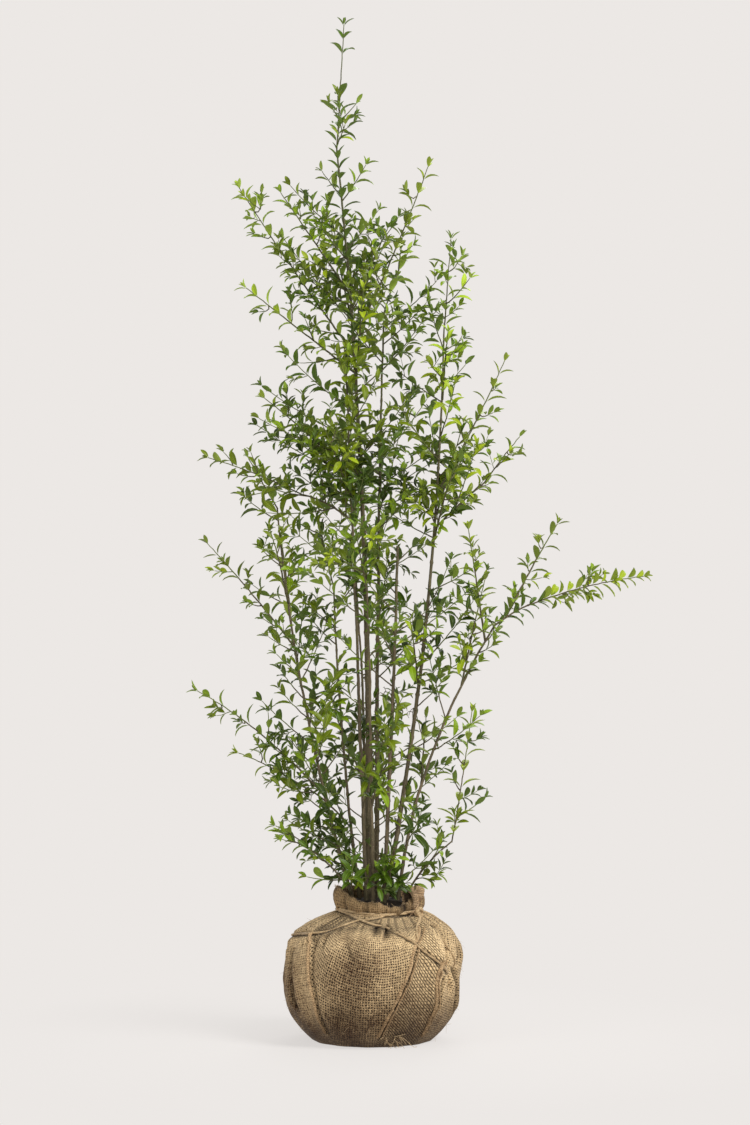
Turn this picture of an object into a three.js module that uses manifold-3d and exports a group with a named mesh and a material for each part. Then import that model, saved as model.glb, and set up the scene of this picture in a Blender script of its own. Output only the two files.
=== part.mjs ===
// A young hedging shrub with several slender stems and small opposite leaves, lifted with its root ball.
// The ball is wrapped in hessian, which is gathered into a collar round the stems and tied with twine.
// Millimetres, +Z up. The origin is the middle of the ball's flat underside, and -Y is the front.
import * as THREE from "three";
import { mergeVertices } from "three/addons/utils/BufferGeometryUtils.js";
import Module from "manifold-3d";

const wasm = await Module();
wasm.setup();

// Driving dimensions of the wrapped root ball
const BALL_WIDTH = 300;
const BALL_FOOT_WIDTH = 202;
const BALL_FOOT_ROUNDNESS = 2.7;
const BALL_SHOULDER_ROUNDNESS = 3.9;
const BALL_WAIST_HEIGHT = 106;
const BALL_HEIGHT = 216;
const BALL_SIDES = 36;
const BALL_RINGS = 10;
const NECK_WIDTH = 144;
const NECK_OFFSET = 12;
const SHOULDER_OFFSET = 5;
const PLEAT_COUNT = 13;
const PLEAT_DEPTH = 1;
const PLEAT_DEPTH_AT_NECK = 4.4;
const PLEATS_DEEPEN_FROM = 60;
const SAG_DEPTH = 2.2;
const HEM_RADIUS = 3.4;
const COLLAR_WALL = 5;
const COLLAR_FLARE = 5;
const COLLAR_PLEAT = 2;
const EAR_HEIGHT = 48;
const EAR_RADIUS = 14;
const SOIL_DEPTH = 24;
const SOIL_CLEARANCE = 5;
const SOIL_CROWN = 6;
const FOOT_SUNK = 8;
const TWINE_RADIUS = 1.9;
const KNOT_RADIUS = 8;
const KNOT_TURN = 50;
const GAP = 0.3;

// Driving dimensions of the leaves and twigs
const LEAF_LENGTH = 62;
const LEAF_WIDTH = 26;
const LEAF_THICKNESS = 2.2;
const LEAF_WIDEST = 0.45;
const LEAF_SPREAD = 56;
const LEAF_SPACING = 50;
const LEAF_APART = 4;
const LEAF_ROOM = 30;
const LEAF_SIZES = [0.82, 1.12];
const LEAF_FACING_UP = 0.8;
const LAST_PAIR = 0.965;
const TWIG_SPACING = 58;
const TWIG_ANGLE = 48;
const TWIG_LIFT = 0.12;
const TWIG_TURN = 110;
const FOOT_FLARE = 0.3;
const FLARE_HEIGHT = 14;
const AXIS_RADIUS = 3.2;
const AXIS_TIP_RADIUS = 2.2;
const TWIG_RADIUS = 1.2;
const TWIG_TIP_RADIUS = 1.4;
const SPACE_MARGIN = 1.2;
const LIMB_CLEARANCE = 3.5;
const SAMPLE_SPACING = 6;
const SIMPLIFIED_BY = 0.1;

const SOIL_TOP = BALL_HEIGHT + GAP + SOIL_DEPTH;
const TIP = "tip";

// Headings are in degrees: 0 is right, 90 is to the back, 180 is left and -90 is to the front.
// A stem has its foot in the soil, the heading and reach of its lean, the height of its top, how far its
// middle bows outwards, and its radius at the foot and at the top.
const STEMS = {
  leader: { foot: [-7, 0], heading: 180, reach: 53, top: 1510, bow: -20, radius: [6.6, 1.4] },
  stem_rear: { foot: [8, 22], heading: 78, reach: 62, top: 1240, bow: -22, radius: [4.6, 1.4] },
  stem_right: { foot: [22, -6], heading: -4, reach: 100, top: 1197, bow: 22, radius: [4.4, 1.4] },
  stem_right_low: { foot: [44, -14], heading: -8, reach: 164, top: 702, bow: -30, radius: [3.2, 1.6] },
  stem_left: { foot: [-20, 12], heading: 172, reach: 46, top: 767, bow: 8, radius: [3, 1.4] },
  stem_left_upper: { foot: [-9, -17], heading: 205, reach: 42, top: 1187, bow: 0, radius: [3.6, 1.4] },
  stem_left_outer: { foot: [-31, -5], heading: 184, reach: 130, top: 901, bow: 18, radius: [3.2, 1.4] },
  stem_middle: { foot: [20, -27], heading: -25, reach: 26, top: 836, bow: 0, radius: [3.8, 2.2] },
  stem_front: { foot: [2, -40], heading: -96, reach: 96, top: 760, bow: -12, radius: [3.2, 1.4] },
  stem_back: { foot: [-6, 40], heading: 100, reach: 130, top: 800, bow: -14, radius: [3.2, 1.4] },
  stem_low_left: { foot: [-30, -22], heading: 200, reach: 74, top: 322, bow: -13, radius: [1.9, 1.3] },
  stem_low_right: { foot: [56, 14], heading: -2, reach: 80, top: 334, bow: -12, radius: [2.1, 1.3] },
};

// A bough or a mass starts on another limb, at a height on it or at its tip. It runs out by its reach along
// its heading, climbs by its rise, and its middle may be lifted above the straight line.
const BOUGHS = {
  bough_right_arm: {
    from: "stem_right_low", fork: TIP, heading: -4, reach: 72, rise: 40, lift: 4, radius: [1.5, 1.3],
  },
  bough_right_mid: {
    from: "stem_right", fork: 867, heading: 4, reach: 84, rise: 78, lift: 3, radius: [1.7, 1.3],
  },
  bough_left_mid: {
    from: "stem_left_upper", fork: 880, heading: 172, reach: 84, rise: 44, lift: 6, radius: [1.7, 1.3],
  },
  bough_left_low: {
    from: "stem_left", fork: 357, heading: 190, reach: 84, rise: 72, lift: 8, radius: [1.6, 1.3],
  },
};

// A mass of leaves also has its spread, which is the length of its longest side twigs.
const MASSES = {
  top_spray: { from: "leader", fork: TIP, heading: 10, reach: 13, rise: 224, spread: 46, bare: [0.42, 0.7] },
  crown_left_high: { from: "leader", fork: 1163, heading: 172, reach: 206, rise: 296, lift: -6, spread: 62 },
  crown_left_mid: { from: "leader", fork: 1265, heading: 196, reach: 128, rise: 178, spread: 58 },
  crown_left_low: { from: "leader", fork: 1130, heading: 188, reach: 196, rise: 150, spread: 66 },
  crown_right_high: { from: "leader", fork: 1187, heading: 10, reach: 134, rise: 309, lift: -12, spread: 52 },
  crown_right_inner: { from: "leader", fork: 1240, heading: -44, reach: 92, rise: 140, spread: 72 },
  crown_front: { from: "leader", fork: 1120, heading: -84, reach: 128, rise: 150, lift: 6, spread: 80 },
  crown_back: { from: "leader", fork: 1215, heading: 112, reach: 120, rise: 205, spread: 76 },
  rear_top: { from: "stem_rear", fork: TIP, heading: 62, reach: 96, rise: 120, lift: 10, spread: 84 },
  right_top: { from: "stem_right", fork: TIP, heading: 24, reach: 14, rise: 172, spread: 76 },
  right_upper_out: {
    from: "stem_right", fork: 1085, heading: -84, reach: 80, rise: 118, lift: 6, spread: 70,
  },
  right_mid_high: { from: "stem_right", fork: 930, heading: 12, reach: 122, rise: 233, lift: -8, spread: 40 },
  right_mid_front: {
    from: "stem_right", fork: 850, heading: -74, reach: 128, rise: 130, lift: 10, spread: 82,
  },
  right_mid_back: { from: "stem_right", fork: 890, heading: 66, reach: 128, rise: 170, spread: 82 },
  right_mid_low: { from: "bough_right_mid", fork: TIP, heading: 2, reach: 66, rise: 86, lift: 2, spread: 60 },
  right_centre: { from: "stem_right", fork: 590, heading: -100, reach: 96, rise: 130, lift: 8, spread: 82 },
  arm_right: { from: "bough_right_arm", fork: TIP, heading: -3, reach: 190, rise: 46, lift: 6, spread: 32 },
  arm_right_up: {
    from: "bough_right_arm", fork: 716, heading: 22, reach: 102, rise: 168, lift: 4, spread: 44,
  },
  arm_right_inner: { from: "stem_right_low", fork: 676, heading: 150, reach: 34, rise: 200, spread: 52 },
  arm_right_front: {
    from: "stem_right_low", fork: 600, heading: -62, reach: 84, rise: 190, lift: 4, spread: 66,
  },
  low_right: { from: "stem_low_right", fork: TIP, heading: 6, reach: 36, rise: 232, lift: -8, spread: 54 },
  low_right_inner: {
    from: "stem_right_low", fork: 430, heading: 84, reach: 96, rise: 120, lift: 4, spread: 66,
  },
  arm_left: { from: "stem_left_outer", fork: 666, heading: 176, reach: 156, rise: 184, lift: 4, spread: 40 },
  left_outer_top: { from: "stem_left_outer", fork: TIP, heading: 140, reach: 74, rise: 96, spread: 76 },
  left_outer_front: {
    from: "stem_left_outer", fork: 740, heading: -104, reach: 116, rise: 130, lift: 8, spread: 74,
  },
  left_outer_back: {
    from: "stem_left_outer", fork: 700, heading: 100, reach: 126, rise: 160, lift: 6, spread: 76,
  },
  low_left_arm: {
    from: "stem_left_outer", fork: 412, heading: 178, reach: 226, rise: 186, lift: 16, spread: 52,
  },
  low_left_arm_under: {
    from: "bough_left_low", fork: TIP, heading: 188, reach: 118, rise: 62, lift: 4, spread: 50,
  },
  low_left_foot: { from: "stem_low_left", fork: TIP, heading: 186, reach: 72, rise: 50, lift: 4, spread: 50 },
  left_mid: { from: "bough_left_mid", fork: TIP, heading: 187, reach: 170, rise: 66, lift: 4, spread: 74 },
  left_mid_upper: {
    from: "stem_left_upper", fork: 960, heading: 166, reach: 158, rise: 136, lift: 4, spread: 76,
  },
  left_mid_front: {
    from: "stem_left_upper", fork: 915, heading: -112, reach: 128, rise: 128, lift: 8, spread: 84,
  },
  left_top: { from: "stem_left", fork: TIP, heading: 128, reach: 60, rise: 150, spread: 80 },
  middle_front: { from: "stem_front", fork: TIP, heading: -120, reach: 44, rise: 116, spread: 72 },
  middle_back: { from: "stem_back", fork: TIP, heading: 112, reach: 44, rise: 190, spread: 80 },
  middle_low_back: { from: "stem_back", fork: 420, heading: 60, reach: 96, rise: 120, lift: 4, spread: 72 },
  middle_low_front: {
    from: "stem_front", fork: 400, heading: -70, reach: 84, rise: 100, lift: 6, spread: 70,
  },
  foot_leaves: { from: "stem_front", fork: 292, heading: -40, reach: 62, rise: 26, lift: 12, spread: 40 },
};

function material(color, roughness) {
  return new THREE.MeshStandardMaterial({ color, roughness, flatShading: true });
}

const LEAF_GREEN = material(0x5f8430, 0.5);
const BARK = material(0x6f6250, 0.85);
const HESSIAN = material(0xa98c62, 0.95);
const TWINE = material(0xb59a6b, 0.9);
const SOIL = material(0x2c2119, 1);

const root = new THREE.Group();
const radians = THREE.MathUtils.degToRad;
const UP = new THREE.Vector3(0, 0, 1);

function compass(degrees) {
  return new THREE.Vector3(Math.cos(radians(degrees)), Math.sin(radians(degrees)), 0);
}

// The same random numbers for the same seed, from 0 up to 1
function seeded(seed) {
  const multiplier = 1664525;
  const increment = 1013904223;
  let state = seed >>> 0;
  return () => {
    state = (Math.imul(state, multiplier) + increment) >>> 0;
    return state / 2 ** 32;
  };
}

function between(low, high, random) {
  return low + (high - low) * random();
}

// Solids

function solidOf(geometry) {
  const bare = geometry.clone();
  bare.deleteAttribute("normal");
  bare.deleteAttribute("uv");
  const merged = mergeVertices(bare, 1e-4);
  const vertProperties = merged.attributes.position.array;
  return new wasm.Manifold(
    new wasm.Mesh({ numProp: 3, vertProperties, triVerts: new Uint32Array(merged.index.array) }),
  );
}

// The largest body of a solid, without loose scraps or the walls of sealed hollows
function largestBody(solid) {
  const bodies = solid.decompose();
  return bodies.reduce((best, body) => (body.volume() > best.volume() ? body : best));
}

function addNode(name, solid, surface) {
  const mesh = solid.getMesh();
  const geometry = new THREE.BufferGeometry();
  geometry.setAttribute("position", new THREE.BufferAttribute(mesh.vertProperties, 3));
  geometry.setIndex(new THREE.BufferAttribute(mesh.triVerts, 1));
  geometry.computeVertexNormals();
  const node = new THREE.Mesh(geometry, surface);
  node.name = name;
  root.add(node);
}

// Moves each vertex of a geometry to where place puts it
function reshape(geometry, place) {
  const position = geometry.attributes.position;
  const vertex = new THREE.Vector3();
  for (let i = 0; i < position.count; i++) {
    const moved = place(vertex.fromBufferAttribute(position, i));
    position.setXYZ(i, moved.x, moved.y, moved.z);
  }
  return geometry;
}

// A level direction across a curve that lies in one upright plane
function acrossOf(curve) {
  const chord = curve.getPoint(1).sub(curve.getPoint(0));
  const across = new THREE.Vector3().crossVectors(chord, UP);
  return across.lengthSq() < 1 ? new THREE.Vector3(1, 0, 0) : across.normalize();
}

// A closed rod along a curve, with its radius given along the way, grown all round by extra
function rod(curve, radiusAt, sides, steps, extra = 0) {
  const across = acrossOf(curve);
  return reshape(new THREE.CylinderGeometry(1, 1, 1, sides, steps), (vertex) => {
    const along = vertex.y + 0.5;
    const tangent = curve.getTangent(along);
    const other = new THREE.Vector3().crossVectors(across, tangent);
    const radius = radiusAt(along) + extra;
    const onward = along === 0 ? -extra : along === 1 ? extra : 0;
    return curve
      .getPoint(along)
      .addScaledVector(across, vertex.x * radius)
      .addScaledVector(other, vertex.z * radius)
      .addScaledVector(tangent, onward);
  });
}

// A curve as a chain of straight lines of equal length
function straightened(curve, steps) {
  const points = curve.getSpacedPoints(steps);
  const path = new THREE.CurvePath();
  points.slice(1).forEach((point, i) => path.add(new THREE.LineCurve3(points[i], point)));
  return path;
}

// The wrapped root ball

// Every turn about the ball is counted from its front towards its right.
// The ball's radius at a height, without its folds: rounder above its waist than below
function ballProfile(height) {
  const waist = BALL_WIDTH / 2;
  if (height < BALL_WAIST_HEIGHT) {
    const below = (BALL_WAIST_HEIGHT - height) / BALL_WAIST_HEIGHT;
    return waist - (waist - BALL_FOOT_WIDTH / 2) * below ** BALL_FOOT_ROUNDNESS;
  }
  const above = (height - BALL_WAIST_HEIGHT) / (BALL_HEIGHT - BALL_WAIST_HEIGHT);
  return waist - (waist - NECK_WIDTH / 2) * Math.min(1, above) ** BALL_SHOULDER_ROUNDNESS;
}

// How far to the right of the foot the middle of the ball stands at a height
function offsetAt(height) {
  const shoulder = SHOULDER_OFFSET * THREE.MathUtils.smoothstep(height, 100, 150);
  return shoulder + (NECK_OFFSET - SHOULDER_OFFSET) * THREE.MathUtils.smoothstep(height, 196, BALL_HEIGHT);
}

// How far the folds of the cloth stand out. They deepen towards the neck.
function folds(turn, height) {
  const rise = THREE.MathUtils.smoothstep(height, PLEATS_DEEPEN_FROM, BALL_HEIGHT);
  const depth = THREE.MathUtils.lerp(PLEAT_DEPTH, PLEAT_DEPTH_AT_NECK, rise);
  const pleats = depth * Math.cos(PLEAT_COUNT * turn + 1.1 + 0.8 * Math.sin(2 * turn));
  const sag = SAG_DEPTH * (Math.cos(2 * turn + 0.6) + 0.7 * Math.cos(3 * turn + 2.2));
  return pleats + sag * Math.sin((Math.PI * height) / BALL_HEIGHT);
}

// A point of the ball's surface, moved out by extra
function ballPoint(turn, height, extra) {
  const radius = ballProfile(height) + folds(turn, height) + extra;
  return new THREE.Vector3(offsetAt(height) + radius * Math.sin(turn), -radius * Math.cos(turn), height);
}

// A path over the ball through a few turns in degrees, each with its height
function ballPath({ turns, heights, extra }) {
  const route = new THREE.SplineCurve(turns.map((turn, i) => new THREE.Vector2(turn, heights[i])));
  const places = route.getPoints(4 * (turns.length - 1));
  return new THREE.CatmullRomCurve3(places.map(({ x, y }) => ballPoint(radians(x), y, extra)));
}

// A closed strand of four sides along a path
function strand(path, radius, steps) {
  const section = new THREE.Shape();
  section.moveTo(radius, 0);
  section.lineTo(0, radius);
  section.lineTo(-radius, 0);
  section.lineTo(0, -radius);
  return solidOf(new THREE.ExtrudeGeometry(section, { steps, extrudePath: path }));
}

// The ball as a closed solid on its flat foot, with its sides and its top moved out by extra
function ballShell(extra) {
  const profile = [new THREE.Vector2(0, 0)];
  for (let i = 0; i <= BALL_RINGS; i++) {
    profile.push(new THREE.Vector2(1, BALL_HEIGHT * (0.5 - 0.5 * Math.cos((Math.PI * i) / BALL_RINGS))));
  }
  profile.push(new THREE.Vector2(0, BALL_HEIGHT));
  const shell = reshape(new THREE.LatheGeometry(profile, BALL_SIDES), ({ x, y, z }) => {
    const isOnAxis = Math.hypot(x, z) < 0.5;
    const placed = isOnAxis ? new THREE.Vector3(0, 0, y) : ballPoint(Math.atan2(x, z), y, extra);
    return placed.setZ(y < BALL_HEIGHT ? y : y + extra);
  });
  return solidOf(shell);
}

// Rolled edges of the cloth that run down the ball
const HEMS = [
  { turns: [41.5, 24, 12, 3], heights: [198, 147, 66, 14], extra: 1 },
  { turns: [48.5, 45, 46, 42], heights: [143, 124, 73, 14], extra: 0.8 },
  { turns: [-54, -44.6, -40, -37], heights: [188, 128, 95, 20], extra: 1 },
  { turns: [118, 128, 131, 132], heights: [188, 140, 80, 22], extra: 1 },
  { turns: [-150, -159, -165, -168], heights: [188, 140, 80, 24], extra: 1 },
];

function wrappedBall(extra) {
  const hems = HEMS.map((hem) => strand(ballPath(hem), HEM_RADIUS + extra, 7));
  return largestBody(wasm.Manifold.union([ballShell(extra), ...hems]));
}

// The height of the collar's rim over its foot at a few turns in degrees, from the back over the left side
const RIM = {
  turns: [-180, -120, -74, -44, -14, 20, 56, 88, 130, 180],
  heights: [38, 41, 45, 34, 25, 20, 33, 29, 35, 38],
};

function rimHeight(turn) {
  const degrees = THREE.MathUtils.radToDeg(turn);
  const next = Math.max(1, RIM.turns.findIndex((mark) => mark >= degrees));
  const share = THREE.MathUtils.inverseLerp(RIM.turns[next - 1], RIM.turns[next], degrees);
  return THREE.MathUtils.lerp(RIM.heights[next - 1], RIM.heights[next], share);
}

// The gathered cloth above the neck: a ring that dips in front, and an ear where its corners are twisted
function collar() {
  const base = BALL_HEIGHT + GAP;
  const outer = NECK_WIDTH / 2 - 1;
  const inner = outer - COLLAR_WALL;
  const profile = [
    [inner, 0],
    [outer, 0],
    [outer + 0.4 * COLLAR_FLARE, 0.35],
    [outer + COLLAR_FLARE, 0.9],
    [outer + 0.4 * COLLAR_FLARE, 1],
    [inner + 0.6 * COLLAR_FLARE, 0.9],
    [inner, 0.35],
    [inner, 0],
  ].map(([radius, share]) => new THREE.Vector2(radius, share));
  const ring = reshape(new THREE.LatheGeometry(profile, 26), ({ x, y, z }) => {
    const turn = Math.atan2(x, z);
    const radius = Math.hypot(x, z) + COLLAR_PLEAT * Math.cos(11 * turn + 0.5);
    const height = base + y * rimHeight(turn);
    return new THREE.Vector3(NECK_OFFSET + radius * Math.sin(turn), -radius * Math.cos(turn), height);
  });
  const earMiddle = new THREE.Vector3(NECK_OFFSET + outer - 4, -48, base + 0.55 * EAR_HEIGHT);
  const earFoot = new THREE.Vector3(NECK_OFFSET + outer - 12, -45, base + 4);
  const earTip = new THREE.Vector3(NECK_OFFSET + outer - 14, -38, base + EAR_HEIGHT);
  const earPath = new THREE.QuadraticBezierCurve3(earFoot, earMiddle, earTip);
  const earRadius = (along) => EAR_RADIUS * (0.5 + 0.5 * Math.sin(Math.PI * (0.15 + 0.75 * along)));
  const ear = rod(earPath, earRadius, 6, 4);
  return largestBody(solidOf(ring).add(solidOf(ear)));
}

function soil() {
  const base = BALL_HEIGHT + 2 * GAP;
  const radius = NECK_WIDTH / 2 - COLLAR_WALL - SOIL_CLEARANCE;
  const profile = [
    [0, base],
    [radius, base],
    [radius, SOIL_TOP - SOIL_CROWN],
    [radius - SOIL_CROWN, SOIL_TOP],
    [0, SOIL_TOP],
  ].map(([across, height]) => new THREE.Vector2(across, height));
  return solidOf(new THREE.LatheGeometry(profile, 24).rotateX(Math.PI / 2).translate(NECK_OFFSET, 0, 0));
}

// The turn of twine round the neck, with the knot that holds it below the ear
function neckTwine() {
  const radius = NECK_WIDTH / 2 + 1.5 * TWINE_RADIUS;
  const height = BALL_HEIGHT + 2 * TWINE_RADIUS;
  const loop = new THREE.TorusGeometry(radius, TWINE_RADIUS, 4, 24).translate(NECK_OFFSET, 0, height);
  const knotOut = compass(KNOT_TURN - 90).multiplyScalar(radius + 4);
  const knot = new THREE.IcosahedronGeometry(KNOT_RADIUS, 0)
    .scale(1, 0.8, 0.9)
    .translate(NECK_OFFSET + knotOut.x, knotOut.y, height);
  return solidOf(loop).add(solidOf(knot));
}

// Twine across the ball, from the neck over the shoulder and down
const BALL_TWINES = {
  twine_left: { turns: [24, -3, -22, -44, -78, -104], heights: [213, 213, 209, 191.5, 181, 168], extra: 1.4 },
  twine_right: { turns: [-15, 10, 27, 42.5, 56], heights: [210, 200, 179.5, 147, 122.5], extra: 1.4 },
};

function rootBall() {
  addNode("root_ball", wrappedBall(0), HESSIAN);
  const cleared = wrappedBall(GAP);
  const gathered = collar();
  addNode("collar", gathered, HESSIAN);
  addNode("soil", soil(), SOIL);
  const neck = largestBody(neckTwine().subtract(cleared).subtract(gathered));
  addNode("neck_twine", neck, TWINE);
  const lying = [neck];
  for (const [name, route] of Object.entries(BALL_TWINES)) {
    const twine = strand(ballPath(route), TWINE_RADIUS, 18).subtract(cleared);
    const piece = largestBody(lying.reduce((left, other) => left.subtract(other), twine));
    addNode(name, piece, TWINE);
    lying.push(piece);
  }
}

// Stems and boughs

const limbs = {};

function rememberLimb(name, curve, [footRadius, tipRadius], flare) {
  const length = curve.getLength();
  const radiusAt = (along) =>
    THREE.MathUtils.lerp(footRadius, tipRadius, along ** 0.8) *
    (1 + flare * Math.exp((-along * length) / FLARE_HEIGHT));
  const marks = Array.from({ length: 13 }, (_, i) => i / 12);
  const path = marks.map((along) => ({ point: curve.getPoint(along), radius: radiusAt(along) }));
  limbs[name] = { curve, radiusAt, path };
}

// A limb grown all round by extra. A stem is cut off flat at the soil.
function limbSolid(name, extra, sides = 5) {
  const { curve, radiusAt } = limbs[name];
  const solid = solidOf(rod(curve, radiusAt, sides, 6, extra));
  return solid.trimByPlane([0, 0, 1], SOIL_TOP + GAP - extra);
}

function stemCurve({ foot, heading, reach, top, bow }) {
  const out = compass(heading);
  const start = new THREE.Vector3(foot[0], foot[1], SOIL_TOP - FOOT_SUNK);
  const end = start.clone().addScaledVector(out, reach).setZ(top);
  const middle = start.clone().lerp(end, 0.5).addScaledVector(out, 2 * bow);
  return new THREE.QuadraticBezierCurve3(start, middle, end);
}

// Where a branch starts: on its limb's middle line at a height, or clear of the limb's tip
function forkPoint({ from, fork }) {
  const { curve } = limbs[from];
  if (fork === TIP) return curve.getPoint(1).addScaledVector(curve.getTangent(1), GAP);
  let low = 0;
  let high = 1;
  for (let i = 0; i < 24; i++) {
    const middle = (low + high) / 2;
    if (curve.getPoint(middle).z < fork) low = middle;
    else high = middle;
  }
  return curve.getPoint(low);
}

// A branch's middle line, which stops short of its full reach by the room that its last leaves need
function branchCurve(branch, room = 0) {
  const start = forkPoint(branch);
  const end = start.clone().addScaledVector(compass(branch.heading), branch.reach);
  end.addScaledVector(UP, branch.rise);
  end.addScaledVector(end.clone().sub(start).normalize(), -room);
  const middle = start.clone().lerp(end, 0.5).addScaledVector(UP, 2 * (branch.lift ?? 0));
  return new THREE.QuadraticBezierCurve3(start, middle, end);
}

function stemsAndBoughs() {
  for (const [name, stem] of Object.entries(STEMS)) {
    rememberLimb(name, stemCurve(stem), stem.radius, FOOT_FLARE);
    addNode(name, limbSolid(name, 0), BARK);
  }
  for (const [name, bough] of Object.entries(BOUGHS)) {
    rememberLimb(name, branchCurve(bough), bough.radius, 0);
    addNode(name, largestBody(limbSolid(name, 0).subtract(limbSolid(bough.from, GAP))), BARK);
  }
}

// Masses of leaves

const AXIS_STEPS = 3;
const FIRST_SEED = 1000;
const SEED_STEP = 7919;
const axes = {};

function distanceToPath(point, path) {
  let nearest = Infinity;
  for (let i = 1; i < path.length; i++) {
    const line = new THREE.Line3(path[i - 1].point, path[i].point);
    const share = line.closestPointToPointParameter(point, true);
    const gap = line.at(share, new THREE.Vector3()).distanceTo(point);
    nearest = Math.min(nearest, gap - THREE.MathUtils.lerp(path[i - 1].radius, path[i].radius, share));
  }
  return nearest;
}

// Points from near one end of a line to its other end
function samplesOf(start, end, first = 0.3) {
  const count = Math.ceil((start.distanceTo(end) * (1 - first)) / SAMPLE_SPACING);
  const shares = Array.from({ length: count + 1 }, (_, i) => first + ((1 - first) * i) / count);
  return shares.map((share) => start.clone().lerp(end, share));
}

// A mass keeps to the points that lie nearer to its own stem than to another mass's, and clear of every limb
function isFree(points, name) {
  return points.every((point) => {
    const own = distanceToPath(point, axes[name].path) + SPACE_MARGIN;
    const others = Object.keys(axes).filter((other) => other !== name);
    return (
      others.every((other) => distanceToPath(point, axes[other].path) > own) &&
      Object.values(limbs).every(({ path }) => distanceToPath(point, path) > LIMB_CLEARANCE)
    );
  });
}

// A leaf of four faces, folded along its midrib: a root, a tip and a raised point at each side
function leaf({ foot, along, face, length, width }) {
  const across = new THREE.Vector3().crossVectors(face, along).normalize();
  const up = new THREE.Vector3().crossVectors(along, across);
  const widest = LEAF_WIDEST * length;
  const corners = [
    [0, 0, 0],
    [widest, width / 2, LEAF_THICKNESS],
    [widest, -width / 2, LEAF_THICKNESS],
    [length, 0, 0],
  ].map(([out, side, high]) =>
    foot.clone().addScaledVector(along, out).addScaledVector(across, side).addScaledVector(up, high),
  );
  const faces = [0, 2, 1, 1, 2, 3, 0, 1, 3, 0, 3, 2];
  return { geometry: new THREE.BufferGeometry().setFromPoints(corners).setIndex(faces), corners };
}

// Whether a leaf keeps clear, past its root, of the lines of the twigs and leaves placed before it
function isApart([foot, left, right, tip], lines) {
  const samples = [0.35, 0.7, 1].map((along) => foot.clone().lerp(tip, along)).concat(left, right);
  return lines.every((line) =>
    samples.every((sample) => {
      const nearest = line.closestPointToPoint(sample, true, new THREE.Vector3());
      return nearest.distanceTo(sample) > LEAF_APART;
    }),
  );
}

// A direction across a twig, turned about it
function sideOf(tangent, turn) {
  const level = new THREE.Vector3().crossVectors(tangent, UP);
  if (level.lengthSq() < 1e-4) level.set(1, 0, 0);
  level.normalize();
  const other = new THREE.Vector3().crossVectors(tangent, level);
  return level.multiplyScalar(Math.cos(turn)).addScaledVector(other, Math.sin(turn));
}

// Side twigs leave the stem of a mass in turn, each a quarter turn on from the last, shorter towards the tip
function sideTwigs(mass, stem, random) {
  const length = stem.getLength();
  const count = Math.max(2, Math.round(length / TWIG_SPACING));
  const start = random() * Math.PI;
  const twigs = [];
  for (let i = 0; i < count; i++) {
    const along = (i + 0.9) / (count + 0.9);
    const turn = start + i * radians(TWIG_TURN) + between(0, 0.5, random);
    const reach = mass.spread * (1.15 - 0.7 * along) * between(0.8, 1.2, random) - 0.5 * LEAF_ROOM;
    const tangent = stem.getTangent(along);
    const out = sideOf(tangent, turn);
    const angle = radians(TWIG_ANGLE + between(-7, 7, random));
    const foot = stem.getPoint(along);
    const end = foot
      .clone()
      .addScaledVector(tangent, reach * Math.cos(angle))
      .addScaledVector(out, reach * Math.sin(angle))
      .addScaledVector(UP, TWIG_LIFT * reach);
    twigs.push({ along, curve: new THREE.LineCurve3(foot, end) });
  }
  return twigs;
}

// Pairs of leaves along a twig, each pair a quarter turn on from the last, with a pair at the tip
function leafPairs(curve, random, { first, bare = [2, 2] }) {
  const length = curve.getLength();
  const count = Math.max(1, Math.round((length - first) / LEAF_SPACING));
  const start = random() * Math.PI;
  const leaves = [];
  for (let i = 0; i <= count; i++) {
    const along = Math.min(LAST_PAIR, (first + ((length - first) * i) / count) / length);
    const turn = start + (i * Math.PI) / 2;
    const size = between(...LEAF_SIZES, random);
    if (along > bare[0] && along < bare[1]) continue;
    for (const half of [0, Math.PI]) {
      const tangent = curve.getTangent(along);
      const spread = radians(LEAF_SPREAD + between(-8, 8, random));
      const direction = tangent.clone().multiplyScalar(Math.cos(spread));
      direction.addScaledVector(sideOf(tangent, turn + half), Math.sin(spread)).normalize();
      const face = tangent.clone().addScaledVector(UP, LEAF_FACING_UP);
      leaves.push(
        leaf({
          foot: curve.getPoint(along),
          along: direction,
          face,
          length: LEAF_LENGTH * size,
          width: LEAF_WIDTH * size,
        }),
      );
    }
  }
  return leaves;
}

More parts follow.
